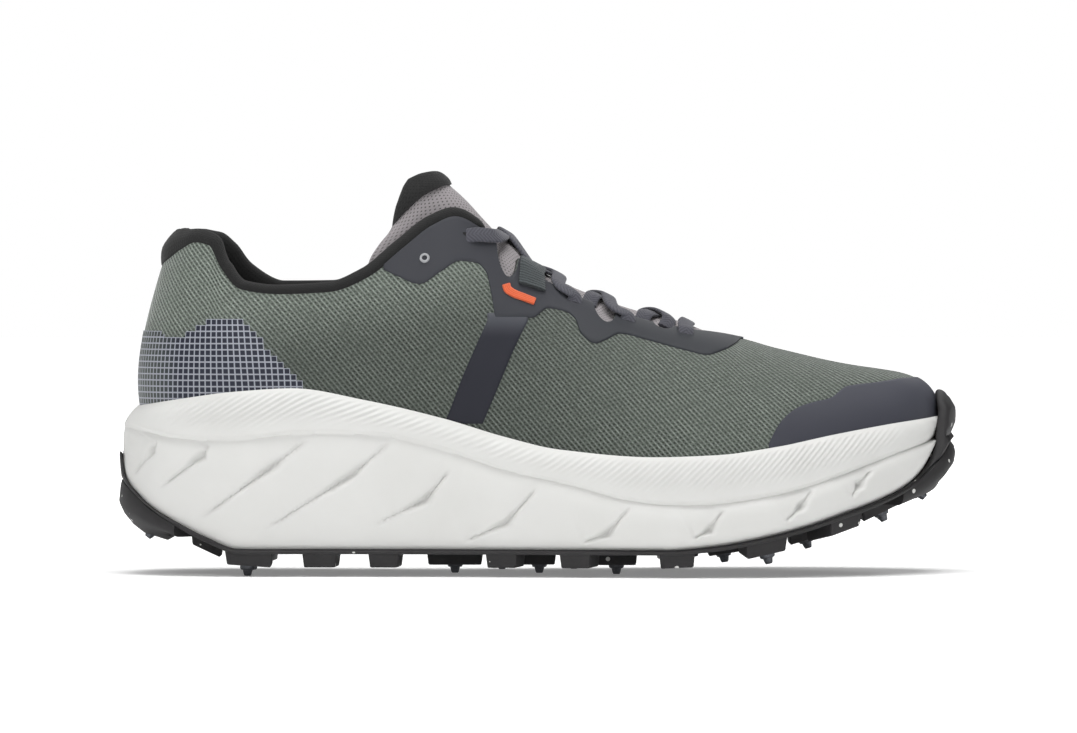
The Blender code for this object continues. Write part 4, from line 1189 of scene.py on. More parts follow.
@dataclass(frozen=True)
class Last:
    """The form that the shoe is drawn round, with the sole's side lines."""

    throat_front: float = 0.72
    halvings: int = 24
    gap: float = 0.35
    lower_inset: float = 3.0

    # Dips of the throat's edge between the lace holes: x, half length and depth as a share of the section
    dips: tuple[tuple[float, float, float], ...] = ((-11.0, 4.0, 0.15), (23.6, 4.0, 0.15), (44.5, 3.6, 0.06))

    def foot(self, p: Array) -> Array:
        """Outline of the upper on the cup's floor.

        Args:
            p: places around the shoe.

        Returns:
            The points.
        """
        x = around(FOOTPRINT, "x_lateral", "x_medial", p, flowing)
        y = around(FOOTPRINT, "y_lateral", "y_medial", p, flowing)
        return np.stack((x, y, line(FOOTBED, x)), axis=-1)

    def top_edge(self, p: Array) -> Array:
        """Top edge of one side, before the two sides meet on the ridge.

        Args:
            p: places around the shoe.

        Returns:
            The points.
        """
        x = around(TOPLINE, "x", "x", p, flowing)
        y = around(TOPLINE, "y_lateral", "y_medial", p, flowing)
        return np.stack((x, y, around(TOPLINE, "z_lateral", "z_medial", p, level)), axis=-1)

    def top(self, p: Array) -> Array:
        """Top edge of the upper; both sides share the ridge in front of the throat.

        Args:
            p: places around the shoe.

        Returns:
            The points.
        """
        p = np.mod(p, 2)
        own, other = self.top_edge(p), self.top_edge(2 - p)
        ridge = (np.minimum(p, 2 - p) >= self.throat_front)[..., None]
        return np.where(ridge, (own + other) / 2, own)

    def outward(self, p: Array) -> Array:
        """Level direction out of the footprint.

        Args:
            p: places around the shoe.

        Returns:
            Vectors of length one.
        """
        step = 1e-3
        run = self.foot(p + step) - self.foot(p - step)
        return unit(np.stack((run[..., 1], -run[..., 0], np.zeros_like(p)), axis=-1))

    def wall(self, p: Any, s: Any) -> Array:
        """Outer surface of the upper: one Bezier curve from sole to top edge at each p.

        Args:
            p: places around the shoe.
            s: places up the sections.

        Returns:
            The points.
        """
        p, s = np.broadcast_arrays(np.asarray(p, float), np.asarray(s, float))
        rise, swell, reach, flare, drop = (
            around(WALL_SHAPE, name, name, p, flowing)[..., None]
            for name in ("rise", "swell", "reach", "flare", "drop")
        )
        low, high, out = self.foot(p), self.top(p), self.outward(p)
        lean = (low - high) * (1, 1, 0)
        first = low + swell * out + rise * UP
        second = high + reach * lean + flare * out - drop * UP
        s = s[..., None]
        r = 1 - s
        return r ** 3 * low + 3 * r ** 2 * s * first + 3 * r * s ** 2 * second + s ** 3 * high

    def wall_normal(self, p: Any, s: Any) -> Array:
        """Direction out of the upper's surface.

        Args:
            p: places around the shoe.
            s: places up the sections.

        Returns:
            Vectors of length one.
        """
        step = 2e-3
        s = np.clip(s, 0.004, 0.985)
        run = self.wall(np.asarray(p) + step, s) - self.wall(np.asarray(p) - step, s)
        climb = self.wall(p, s + step) - self.wall(p, s - step)
        return unit(np.cross(run, climb))

    def skin(self, p: Any, s: Any, depth: Any) -> Array:
        """The upper's surface set off outwards by depth."""
        return self.wall(p, s) + np.asarray(depth)[..., None] * self.wall_normal(p, s)

    def halved(self, low: Array, high: Array, short_of: Callable[[Array], Array]) -> Array:
        """Find by halving where a test turns false.

        Args:
            low: places where the search starts.
            high: places where it ends.
            short_of: the test, true below the place looked for.

        Returns:
            The places.
        """
        for _ in range(self.halvings):
            middle = (low + high) / 2
            short = short_of(middle)
            low, high = np.where(short, middle, low), np.where(short, high, middle)
        return (low + high) / 2

    def height_on_wall(self, p: Array, edge: Line) -> Array:
        """The s at which each section reaches a side-view line.

        Args:
            p: places around the shoe.
            edge: height of the line at x.

        Returns:
            The places up the sections.
        """
        def below(s: Array) -> Array:
            """Whether the surface at s is still under the line."""
            point = self.wall(p, s)
            return point[..., 2] < edge(point[..., 0])
        return self.halved(np.zeros_like(p), np.ones_like(p), below)

    def on_wall(self, side: Side, x: Any, z: Any) -> tuple[Array, Array]:
        """The upper's point seen at x and z from one side.

        Args:
            side: side of the shoe.
            x: place along the shoe.
            z: height.

        Returns:
            The p and s.
        """
        x, z = np.broadcast_arrays(np.asarray(x, float), np.asarray(z, float))

        def s_at(t: Array) -> Array:
            """The s at height z."""
            return self.height_on_wall(side.p_at(t), lambda _: z)

        def behind(t: Array) -> Array:
            """Whether the point at t and z lies behind x."""
            return self.wall(side.p_at(t), s_at(t))[..., 0] < x

        t = self.halved(np.zeros_like(x), np.ones_like(x), behind)
        return side.p_at(t), s_at(t)

    def free_edge(self, p: Array) -> Array:
        """The upper's cut edge: 1, less the dips between the lace holes.

        Args:
            p: places around the shoe.

        Returns:
            The s of the edge.
        """
        x = self.top(p)[..., 0]
        edge = np.ones_like(p)
        for middle, half, depth in self.dips:
            share = np.clip(np.abs(x - middle) / half, 0, 1)
            edge -= depth * np.sqrt(1 - share ** 2)
        return edge

    def rim(self, x: Array) -> Array:
        """Height of the midsole's rim."""
        return line(RIM, x)

    def flare_point(self, p: Array, inset: Any, z: Any) -> Array:
        """Point of the sole's side.

        Args:
            p: places around the shoe.
            inset: distance in from the sole's widest line.
            z: height, or a line z(x).

        Returns:
            The points.
        """
        reach = along(FLARE, "out", p) - inset
        point = self.foot(p) + reach[..., None] * self.outward(p)
        point[..., 2] = z(point[..., 0]) if callable(z) else z
        return point

    def lower_edge(self, p: Array, drop: float = 0.0) -> Array:
        """The midsole's lower edge, or a line that far below it."""
        inset = self.lower_inset * along(FULLNESS, "share", p)
        return self.flare_point(p, inset, lambda x: line(UNDER, x) - drop)

    def side_height(self, x: Array, share: Any) -> Array:
        """Height on the midsole's side, from its lower edge at 0 to the step at 1."""
        return line(UNDER, x) + share * (line(STEP, x) - line(UNDER, x))

    def beside(self, side: Side, x: Any, inset: float) -> Array:
        """Places around the sole's side at x.

        Args:
            side: side of the shoe.
            x: places along the shoe.
            inset: distance in from the sole's widest line.

        Returns:
            The places around the shoe.
        """
        x = np.asarray(x, float)

        def behind(t: Array) -> Array:
            """Whether the sole's side at t lies behind x."""
            return self.flare_point(side.p_at(t), inset, 0.0)[..., 0] < x

        return side.p_at(self.halved(np.full_like(x, 0.03), np.full_like(x, 0.97), behind))

    def cloth_map(self, points: Array, p: Array) -> Array:
        """Map of a sheet on the upper in millimetres: length along the shoe, and height up each section.

        Args:
            points: points of the sheet, columns first.
            p: place around the shoe of each column.

        Returns:
            The map, in the same order. Both sides run alike in side view.
        """
        ring = np.abs(p - 1)
        heel = self.wall(p, np.full_like(p, 0.6))
        step = np.linalg.norm(np.diff(heel, axis=0), axis=1) - np.abs(np.diff(heel[:, 0]))
        bend = np.where(ring[1:] > 0.85, step, 0)
        bent = np.where(p < 1, np.sum(bend) / 2 - np.concatenate(([0], np.cumsum(bend))), 0)
        u = points[..., 0] - np.where(p < 1, bent, bent[::-1])[:, None]
        v = points[..., 2].copy()
        for half in (slice(0, len(p) // 2 + 1), slice(len(p) - 1, len(p) // 2 - 1, -1)):
            side = points[half]
            for row in range(1, side.shape[1]):
                x, below = side[:, row, 0], side[:, row - 1]
                y, z, height = (np.interp(x, below[:, 0], column) for column in
                                (below[:, 1], below[:, 2], v[half, row - 1]))
                v[half, row] = height + np.hypot(side[:, row, 1] - y, side[:, row, 2] - z)
        return np.stack((u, v), axis=-1)


@dataclass(frozen=True)
class Midsole:
    """Foam cup with its ribbed rim band, the step under it and the slanted cuts in its side."""

    last: Last
    columns: int = 1150
    band_rows: int = 32
    side_rows: int = 46
    lip_thickness: float = 1.2
    lip_drop: float = 0.3
    lip_crown: float = 0.25
    band_inset: float = 1.2
    band_rise: float = 1.2
    band_swell: float = 0.9
    heel_swell: float = -0.6
    heel_zone: tuple[float, float] = (0.01, 0.07)
    heel_fill: float = 0.6
    heel_upright: float = 0.75
    rib_pitch: float = 1.75
    rib_height: float = 0.3
    cut_depth: float = 3.3
    cut_width: float = 0.52
    knee_width: float = 1.15
    step_depth: float = 0.9
    step_reach: float = 9.0
    step_start: float = 0.7
    knee_reach: float = 0.28
    shallow_share: float = 0.5

    # Lean of the rim's ribs from level, and their share of the full height, along the shoe
    ribs: ClassVar[Table] = table(
        "x      degrees strength",
        (-150, 27, 0.0), (-138, 27, 0.2), (-124, 27, 1.0), (-60, 30, 1.0), (-35, 34, 0.6), (0, 38, 0.6),
        (35, 42, 0.9), (95, 44, 1.0), (118, 45, 0.6), (135, 45, 0.0),
    )
    # Section of the side below the step: share of its height and inset
    section: ClassVar[Table] = table(
        "share inset",
        (0.0, 3.0), (0.15, 1.0), (0.5, -0.2), (0.88, 1.0), (1.0, 2.2),
    )

    def rib_relief(self, x: Array, drop: Array, share: Array) -> Array:
        """Height of the rim's slanted ribs.

        Args:
            x: place along the shoe.
            drop: distance below the rim.
            share: place across the band, 0 at the rim and 1 at the step.

        Returns:
            How far the surface stands out.
        """
        stations = np.linspace(-150, 150, 301)
        lean = np.radians(np.interp(stations, self.ribs["x"], self.ribs["degrees"]))
        count = np.cumsum(np.sin(lean) / self.rib_pitch)
        slant = np.interp(x, stations, np.cos(lean) / self.rib_pitch)
        wave = np.cos(math.tau * (np.interp(x, stations, count) + drop * slant))
        strength = np.interp(x, self.ribs["x"], self.ribs["strength"])
        fade = smooth(0.02, 0.15, share) * (1 - smooth(0.6, 0.97, share))
        return self.rib_height * strength * fade * wave

    def cut_relief(self, x: Array, z: Array) -> Array:
        """Depth of the slanted cuts and of the shallow step that each one leaves above it.

        Args:
            x: place along the shoe.
            z: height.

        Returns:
            How far the surface lies back.
        """
        depth = np.zeros_like(x)
        for x_top, z_top, x_knee, z_knee, x_end, z_end in zip(*SLASHES.values()):
            corners = np.array(((x_top, z_top), (x_knee, z_knee), (x_end, z_end)))
            best = np.full_like(x, 1e6)
            place = np.zeros_like(x)
            above = np.zeros_like(x)
            for part in (0, 1):
                start, run = corners[part], corners[part + 1] - corners[part]
                length = np.linalg.norm(run)
                offset_x, offset_z = x - start[0], z - start[1]
                share = np.clip((offset_x * run[0] + offset_z * run[1]) / length ** 2, 0, 1)
                gap = np.hypot(offset_x - share * run[0], offset_z - share * run[1])
                nearer = gap < best
                best = np.where(nearer, gap, best)
                place = np.where(nearer, part + share, place)
                above = np.where(nearer, (run[0] * offset_z - run[1] * offset_x) / length, above)
            knee = np.exp(-((place - 1) / self.knee_reach) ** 2)
            ends = smooth(-0.1, 0.3, place) * smooth(0, 0.3, 2 - place)
            width = self.cut_width + (self.knee_width - self.cut_width) * knee
            sunk = self.shallow_share + (1 - self.shallow_share) * knee
            groove = sunk * np.exp(-(best / width) ** 2)
            behind = np.where(above < 0, np.exp(-best / self.step_reach), 0)
            behind *= 1 - np.exp(-(best / self.step_start) ** 2)
            depth += ends * (self.cut_depth * groove + self.step_depth * behind)
        return depth

    def rows(self, p: Array) -> list[Array]:
        """Rows of the section, from the cup's floor over the lip and down the side.

        Args:
            p: places around the shoe.

        Returns:
            The rows.
        """
        last = self.last
        out = last.outward(p)
        at_rim = last.height_on_wall(p, last.rim)
        floor_edge = last.foot(p) + last.gap * out - last.gap * UP
        lip = last.skin(p, at_rim, last.gap)
        lip_edge = lip + self.lip_thickness * out - self.lip_drop * UP
        at_heel = 1 - smooth(*self.heel_zone, np.minimum(p, 2 - p))
        band_inset = self.band_inset - self.heel_fill * at_heel
        band_foot = last.flare_point(p, band_inset, lambda x: line(STEP, x) + self.band_rise)
        crest = lip + 0.55 * self.lip_thickness * out + self.lip_crown * UP
        rows = [floor_edge, last.skin(p, at_rim * 0.5, last.gap), lip, crest]
        for share in np.linspace(0, 1, self.band_rows):
            swell = 4 * share * (1 - share) * (self.band_swell + self.heel_swell * at_heel)
            point = lip_edge + share * (band_foot - lip_edge) + swell[:, None] * (out + UP)
            relief = self.rib_relief(point[:, 0], lip_edge[:, 2] - point[:, 2], np.full_like(p, share))
            rows.append(point + relief[:, None] * out)
        slopes = flowing(self.section["share"], self.section["inset"])
        for share in np.linspace(1, 0, self.side_rows):
            inset = hermite(self.section["share"], self.section["inset"], slopes, np.array(share))
            if share < 0.5:
                inset = np.minimum(inset, 0) + np.maximum(inset, 0) * along(FULLNESS, "share", p)
            else:
                inset = inset * (1 - self.heel_upright * at_heel)
            point = last.flare_point(p, inset, lambda x: last.side_height(x, share))
            relief = self.cut_relief(point[:, 0], point[:, 2])
            rows.append(point - relief[:, None] * out)
        return rows

    def build(self) -> None:
        """Make the midsole."""
        p = np.linspace(0, 2, self.columns, endpoint=False)
        points, faces = ring_solid(self.rows(p))
        Piece("midsole_foam", Slot.MIDSOLE, (FOAM,), ("midsole",), sharp=60).build(points, faces)


@dataclass(frozen=True)
class Outsole:
    """Rubber sheet under the midsole with its upturned edge and lugs, and the studs in them."""

    last: Last
    columns: int = 540
    base: float = 1.1
    lug_depth: float = 4.75
    lug_draft: float = 1.2
    lug_inset: float = 1.6
    lug_bevel: float = 0.7
    film_face: float = 1.3
    bumper_bulge: float = 0.45
    bumper_foot: float = 0.6
    bumper_lean: float = 0.3
    stud_sides: int = 24

    # Turned profile of a stud: radius and distance below the lug's face
    stud: ClassVar[Table] = table(
        "radius station",
        (0.3, -2.6), (2.5, -2.4), (2.75, 0.5), (2.45, 1.1), (1.75, 1.3), (1.4, 2.8), (1.1, 3.3), (0.2, 3.35),
    )

    # Blocks of rubber round the heel and the toe: section at the block's middle and at its two ends, as inset
    # from the sole's widest line and drop below the midsole's lower edge
    heel_block: ClassVar[Table] = table(
        "inset drop end_inset end_drop",
        (0.8, 0.5, 2.6, 0.5), (-0.3, 0.9, 0.7, 0.9), (-0.8, 3.2, 0.3, 2.6), (-1.3, 8.2, 0.4, 3.8),
        (-0.9, 9.5, 0.6, 4.4), (0.4, 12.2, 1.2, 4.9), (2.9, 15.2, 2.4, 5.2), (6.6, 18.1, 6.0, 5.3),
        (14.8, 20.8, 14.8, 5.3), (14.8, 12.8, 14.8, 0.5),
    )
    toe_block: ClassVar[Table] = table(
        "inset drop end_inset end_drop",
        (1.6, 0.5, 3.4, 0.5), (-3.9, -0.9, 1.4, 0.8), (-5.3, 0.9, 1.2, 2.0), (-5.8, 3.0, 1.3, 3.0),
        (-5.4, 5.6, 1.6, 4.0), (-3.4, 8.4, 1.9, 4.7), (-0.9, 10.9, 2.3, 5.2), (0.1, 12.9, 3.0, 5.4),
        (6.6, 16.8, 8.0, 5.4), (14.0, 20.4, 14.0, 5.4), (14.0, 15.4, 14.0, 0.5),
    )

    def side_rows(self, p: Array) -> list[Array]:
        """Rows up the midsole's side that the upturned edge lies against.

        Args:
            p: places around the shoe.

        Returns:
            The rows, from the midsole's lower edge.
        """
        last = self.last
        at_rim = last.height_on_wall(p, last.rim)
        out = last.outward(p)
        fullness = along(FULLNESS, "share", p)
        lip_edge = last.skin(p, at_rim, last.gap) + Midsole.lip_thickness * out - Midsole.lip_drop * UP
        band_foot = last.flare_point(p, Midsole.band_inset, lambda x: line(STEP, x) + Midsole.band_rise)
        rows = [
            last.flare_point(p, inset, lambda x, share=share: last.side_height(x, share))
            for share, inset in (
                (0.0, last.lower_inset * fullness), (0.15, fullness), (0.5, -0.2), (0.88, 1.0), (1.0, 2.0))
        ]
        rows += [band_foot, 0.5 * (lip_edge + band_foot) + Midsole.band_swell * (out + UP), lip_edge]
        for rise in (3.0, 12.0):
            s = last.height_on_wall(p, lambda x: last.rim(x) + rise)
            rows.append(last.skin(p, s, self.film_face + last.gap))
        return rows

    def rows(self, p: Array) -> list[Array]:
        """Section of the sheet: under the midsole, up its side, over and down to the base.

        Args:
            p: places around the shoe.

        Returns:
            The rows.
        """
        last = self.last
        out = last.outward(p)
        side = np.stack(self.side_rows(p), axis=1)
        inner = along(UPTURN_FACES, "inner", p)
        outer = along(UPTURN_FACES, "outer", p)
        height = along(UPTURN, "height", p)
        at_toe = smooth(0.93, 0.97, np.minimum(p, 2 - p))

        def climbed(share: float, offset: Array) -> Array:
            """Row up the edge.

            Args:
                share: share of the edge's height.
                offset: distance out from the midsole's side.

            Returns:
                The points.
            """
            z = side[:, 0, 2] + share * height
            place = np.array([
                [np.interp(z[k], side[k, :, 2], side[k, :, axis]) for axis in range(3)] for k in range(len(p))
            ])
            return place + (last.gap + offset)[:, None] * out

        middle, half = 0.5 * (inner + outer), 0.5 * (outer - inner)
        rows = [last.lower_edge(p, last.gap)]
        rows += [climbed(share, inner) for share in (0.25, 0.5, 0.75, 0.88)]
        lean = self.bumper_lean
        for turn in np.linspace(math.pi, 0, 9):
            rows.append(climbed(0.9 + 0.1 * math.sin(turn), middle + (math.cos(turn) - at_toe * lean) * half))
        for share in (0.84, 0.76, 0.68, 0.6, 0.5, 0.4, 0.3, 0.2, 0.12, 0.06):
            foot = self.bumper_foot * math.exp(-(share / 0.2) ** 2)
            knob = self.bumper_bulge * math.sin(math.pi * share) + foot
            taper = lean * (1 - 0.12 / (1 - min(share, 0.84) + 0.12))
            rows.append(climbed(share, outer + at_toe * (knob - (lean - taper) * half)))
        edge = last.lower_edge(p)[:, 2]
        for share, inset in ((0.25, 0.7), (0.8, 0.9), (1.0, 1.3)):
            rows.append(last.flare_point(p, inset, edge - last.gap - share * self.base))
        return rows

    def lug_face(self, x: Array) -> Array:
        """Height of the lugs' lower faces."""
        return line(UNDER, x) - self.last.gap - self.base - self.lug_depth - line(EXTRA_DEPTH, x)

    def lug(self, corners: Any) -> Solid:
        """A lug from its four corners on the base, narrowing downwards, with rounded edges.

        Args:
            corners: x and y of the corners in order.

        Returns:
            The points and faces.
        """
        corners = np.asarray(corners, float)
        lower = corners + self.lug_draft * unit(corners.mean(axis=0) - corners)
        root = line(UNDER, corners[:, 0]) - self.last.gap - self.base * 0.5
        face = np.column_stack((lower, self.lug_face(lower[:, 0])))
        block = plain_mesh("lug", *tube(np.stack((np.column_stack((corners, root)), face))))
        work = bmesh.new()
        work.from_mesh(block.data)
        work.edges.ensure_lookup_table()
        root_z = root.min() * MM - 1e-6
        edges = [e for e in work.edges if min(v.co.z for v in e.verts) < root_z]
        bmesh.ops.bevel(work, geom=edges, offset=self.lug_bevel * MM, segments=3, profile=0.6, affect="EDGES")
        points = np.array([v.co for v in work.verts]) / MM
        faces = [tuple(v.index for v in face.verts) for face in work.faces]
        work.free()
        bpy.data.objects.remove(block)
        return points, faces

    def lugs(self) -> list[Solid]:
        """One lug each side for each row of the edge table, then those down the middle.

        Returns:
            Points and faces of each.
        """
        made = []
        for side in Side:
            for rear, front, depth in zip(*EDGE_LUGS.values()):
                p = self.last.beside(side, [rear, front], self.lug_inset)
                outer = self.last.flare_point(p, self.lug_inset, 0.0)[:, :2]
                inner = outer - depth * self.last.outward(p)[:, :2]
                made.append(self.lug([outer[0], outer[1], inner[1], inner[0]]))
        for rear, front, lateral, medial in zip(*MIDDLE_LUGS.values()):
            made.append(self.lug([(rear, lateral), (front, lateral), (front, medial), (rear, medial)]))
        return made

    def block(self, section: Table, p: Array, weight: Array) -> Solid:
        """A rounded block of rubber along the sole's edge.

        Args:
            section: its section at the middle and at the ends.
            p: places around the shoe.
            weight: 1 at the middle and 0 at the ends.

        Returns:
            The points and faces.
        """
        edge = self.last.lower_edge(p)
        rings = []
        for inset, drop, end_inset, end_drop in zip(*section.values()):
            point = self.last.flare_point(p, weight * inset + (1 - weight) * end_inset, 0.0)
            point[:, 2] = edge[:, 2] - weight * drop - (1 - weight) * end_drop
            rings.append(point)
        return tube(np.stack(rings, axis=1))

    def stud_at(self, x: float, y: float) -> Solid:
        """A turned stud along the outsole's normal.

        Args:
            x: place along the shoe.
            y: place across it.

        Returns:
            The points and faces.
        """
        slope = line(UNDER, np.array(x + 0.5)) - line(UNDER, np.array(x - 0.5))
        down = unit(np.array((float(slope), 0.0, -1.0)))
        sideways = np.array((0.0, 1.0, 0.0))
        ahead = np.cross(down, sideways)
        start = np.array((x, y, float(self.lug_face(np.array(x)))))
        angles = np.arange(self.stud_sides) * math.tau / self.stud_sides
        ring = np.cos(angles)[:, None] * ahead + np.sin(angles)[:, None] * sideways
        rings = [start + station * down + radius * ring for radius, station in zip(*self.stud.values())]
        return tube(np.array(rings))

    def build(self) -> None:
        """Make the outsole and its studs."""
        p = np.linspace(0, 2, self.columns, endpoint=False)
        outsole = plain_mesh("outsole_rubber", *ring_solid(self.rows(p)))
        unite(outsole, plain_mesh("lugs", *joined(self.lugs())))
        heel = np.linspace(-0.1, 0.1, 61)
        weight = 1 - smooth(0.02, 0.1, np.abs(heel))
        unite(outsole, plain_mesh("heel_block", *self.block(self.heel_block, heel, weight)))
        toe = np.linspace(0.9, 1.1, 61)
        weight = 1 - smooth(0.015, 0.1, np.abs(toe - 1))
        unite(outsole, plain_mesh("toe_block", *self.block(self.toe_block, toe, weight)))
        Piece("outsole_rubber", Slot.OUTSOLE, (RUBBER,), ("outsole",), sharp=50).dress(outsole)
        names = tuple(f"stud_{number:02d}" for number in range(1, len(STUDS["x"]) + 1))
        studs = joined([self.stud_at(x, y) for x, y in zip(*STUDS.values())])
        Piece("studs_steel", Slot.STUD, (STEEL,), names).build(*studs)


@dataclass(frozen=True)
class Insole:
    """Removable foam insole on the cup's floor."""

    last: Last
    columns: int = 240
    inset: float = 2.7
    thickness: float = 4.0

    def build(self) -> None:
        """Make the insole."""
        p = np.linspace(0, 2, self.columns, endpoint=False)
        out = self.last.outward(p)
        base = self.last.foot(p) - self.inset * out + self.last.gap * UP
        rows = [base - inward * out + rise * UP for inward, rise in (
            (7.0, self.thickness), (3.0, self.thickness), (1.2, self.thickness - 0.2),
            (0.4, self.thickness - 0.9), (0.0, self.thickness - 2.0), (0.0, 0.0))]
        points, faces = ring_solid(rows)
        piece = Piece("insole_foam", Slot.LINING, (LINING,), ("insole",))
        piece.build(points, faces, uv=points[:, :2])


@dataclass(frozen=True)
class Upper:
    """Hollow mesh upper, open at collar, throat and underneath, with its lining."""

    last: Last
    columns: int = 480
    rows: int = 52
    thickness: float = 2.0

    def build(self) -> None:
        """Make the upper."""
        p = np.linspace(0, 2, self.columns + 1)
        shares = np.linspace(0, 1, self.rows)
        s = self.last.free_edge(p)[:, None] * shares
        grid = np.repeat(p[:, None], self.rows, axis=1)
        outer = self.last.wall(grid, s)
        normal = self.last.wall_normal(grid, s)
        ridge = np.minimum(p, 2 - p) >= self.last.throat_front
        normal[ridge, -1] = unit(normal[ridge, -1] + normal[::-1][ridge, -1])
        faces = grid_faces(*grid.shape)
        points, all_faces = shell(outer, outer - self.thickness * normal, faces)
        lined = np.arange(len(all_faces)) >= len(faces)
        uv = self.last.cloth_map(outer, p)
        uv = np.concatenate((uv.reshape(-1, 2), uv.reshape(-1, 2)))
        Piece("upper_mesh", Slot.UPPER, (MESH, LINING), ("upper",), sharp=60).build(
            points, all_faces, uv=uv, picks=lined.astype(int), weld=True)


@dataclass(frozen=True)
class Overlays:
    """Films bonded on the upper, the tab, and the spare eyelets."""

    last: Last
    lift: float = 0.55
    sunk: float = -0.3
    rim_overlap: float = 1.5
    roll: float = 0.5
    edge_sink: float = -0.1
    edge_share: float = 0.7
    tuck: float = -1.2
    tuck_share: float = 0.8
    tuck_s: float = 0.012
    cell: float = 2.17
    cell_split: int = 2
    cell_rows: int = 21
    grid_base: float = 52.0
    grid_lift: float = 0.4
    grid_line: float = 10.0
    slot_length: float = 4.2
    slot_share: float = 0.45
    slot_height: float = 1.3
    tag_lift: float = 1.3
    toe_cap_reach: float = 0.262
    eyestay_rear: float = 0.318
    eyestay_tip: float = 0.7255
    strap_lift: float = 0.42
    strap_top: float = 93.5
    strap_foot: float = 54.0
    strap_slope: float = 0.42
    ring_radius: float = 1.75
    ring_hole: float = 0.95
    eyelet: tuple[float, float] = (-40.2, 112.6)
    tag_line: tuple[tuple[float, float], ...] = (
        (-11.6, 103.2), (-11.0, 101.4), (-9.6, 100.3), (-5.4, 98.5), (-1.3, 96.9),
    )

    def film(self, piece: Piece, p: Array, s: Array) -> None:
        """A film over a grid of p and s with rounded edges.

        Args:
            piece: what it is.
            p: places around the shoe, columns first.
            s: places up the sections.
        """
        columns, rows = p.shape
        nearest = np.minimum(from_ends(columns)[:, None], from_ends(rows))
        levels = (self.edge_sink, self.edge_share * self.lift, self.lift)
        depth = np.choose(np.minimum(nearest, 2), levels)
        outer = self.last.skin(p, s, depth)
        inner = self.last.skin(p, s, np.full_like(p, self.sunk))
        piece.build(*shell(outer, inner, grid_faces(columns, rows)))

    def spread(self, low: Array, high: Array, count: int, p: Array) -> Array:
        """Rows of s between two edges, with close rows along each edge to round it.

        Args:
            low: s of the lower edge.
            high: s of the upper edge.
            count: rows between the close ones.
            p: places around the shoe.

        Returns:
            The s of each column's rows.
        """
        length = np.linalg.norm(self.last.wall(p, high) - self.last.wall(p, low), axis=-1)
        fine = np.clip(self.roll / np.maximum(length, 1e-3), 0, 0.2)[:, None]
        inner = fine + (1 - 2 * fine) * np.linspace(0, 1, count)
        zero = np.zeros_like(fine)
        shares = np.concatenate((zero, 0.4 * fine, inner, 1 - 0.4 * fine, 1 + zero), axis=1)
        return low[:, None] + (high - low)[:, None] * shares

    def toe_cap(self) -> None:
        """Film round the toe, from under the sole's rim to its stepped upper edge."""
        p = np.linspace(1 - self.toe_cap_reach, 1 + self.toe_cap_reach, 261)
        low = self.last.height_on_wall(p, lambda x: line(RIM, x) - self.rim_overlap)
        high = self.last.height_on_wall(p, lambda x: line(TOE_CAP_EDGE, x))
        s = self.spread(low, np.maximum(high, low + 0.02), 24, p)
        piece = Piece("toe_cap_film", Slot.TOE, (TOE_FILM,), ("toe_cap",))
        self.film(piece, np.repeat(p[:, None], s.shape[1], axis=1), s)

    def heel_counter(self) -> None:
        """Printed film round the heel, made of whole grid cells so that its upper edge is stepped."""
        fine = np.linspace(-0.3, 0.3, 1201)
        low = self.last.height_on_wall(fine, lambda x: line(RIM, x) + self.grid_line)
        ring = self.last.wall(fine, low)
        length = lengths(ring)
        length -= np.interp(0, fine, length)
        reach = int(length[-1] / self.cell)
        split = self.cell_split
        p = np.interp(np.arange(-reach * split, reach * split + 1) * self.cell / split, length, fine)
        z = self.grid_base + self.cell * np.arange(self.cell_rows * split) / split
        grid_p, grid_z = np.meshgrid(p, z, indexing="ij")
        s = self.last.height_on_wall(grid_p, lambda x: grid_z)
        outer = self.last.skin(grid_p, s, np.full_like(s, self.grid_lift))
        uv = flat_map(np.arange(len(p)) / split, np.arange(len(z)) / split)
        middle_x = outer[..., 0]
        faces = []
        for face in grid_faces(*grid_p.shape):
            column, row = divmod(face[0], len(z))
            cell_column, cell_row = column // split * split, row // split * split
            x = middle_x[min(cell_column + split // 2, len(p) - 1), row]
            top_z = z[min(cell_row + split // 2, len(z) - 1)]
            inside = COUNTER_EDGE["x"][0] - 20 < x < COUNTER_EDGE["x"][-1] - 1
            if inside and line(RIM, x) - self.rim_overlap < top_z < line(COUNTER_EDGE, x):
                faces.append(face)
        inner = self.last.skin(grid_p, s, np.full_like(s, self.sunk))
        points, closed = shell(outer, inner, faces)
        used = np.unique(np.concatenate([np.array(face) for face in closed]))
        renumber = np.zeros(len(points), dtype=int)
        renumber[used] = np.arange(len(used))
        both = np.concatenate((uv, uv))
        Piece("heel_grid_film", Slot.GRID, (GRID,), ("heel_counter",)).build(
            points[used], [tuple(renumber[list(face)].tolist()) for face in closed], uv=both[used])

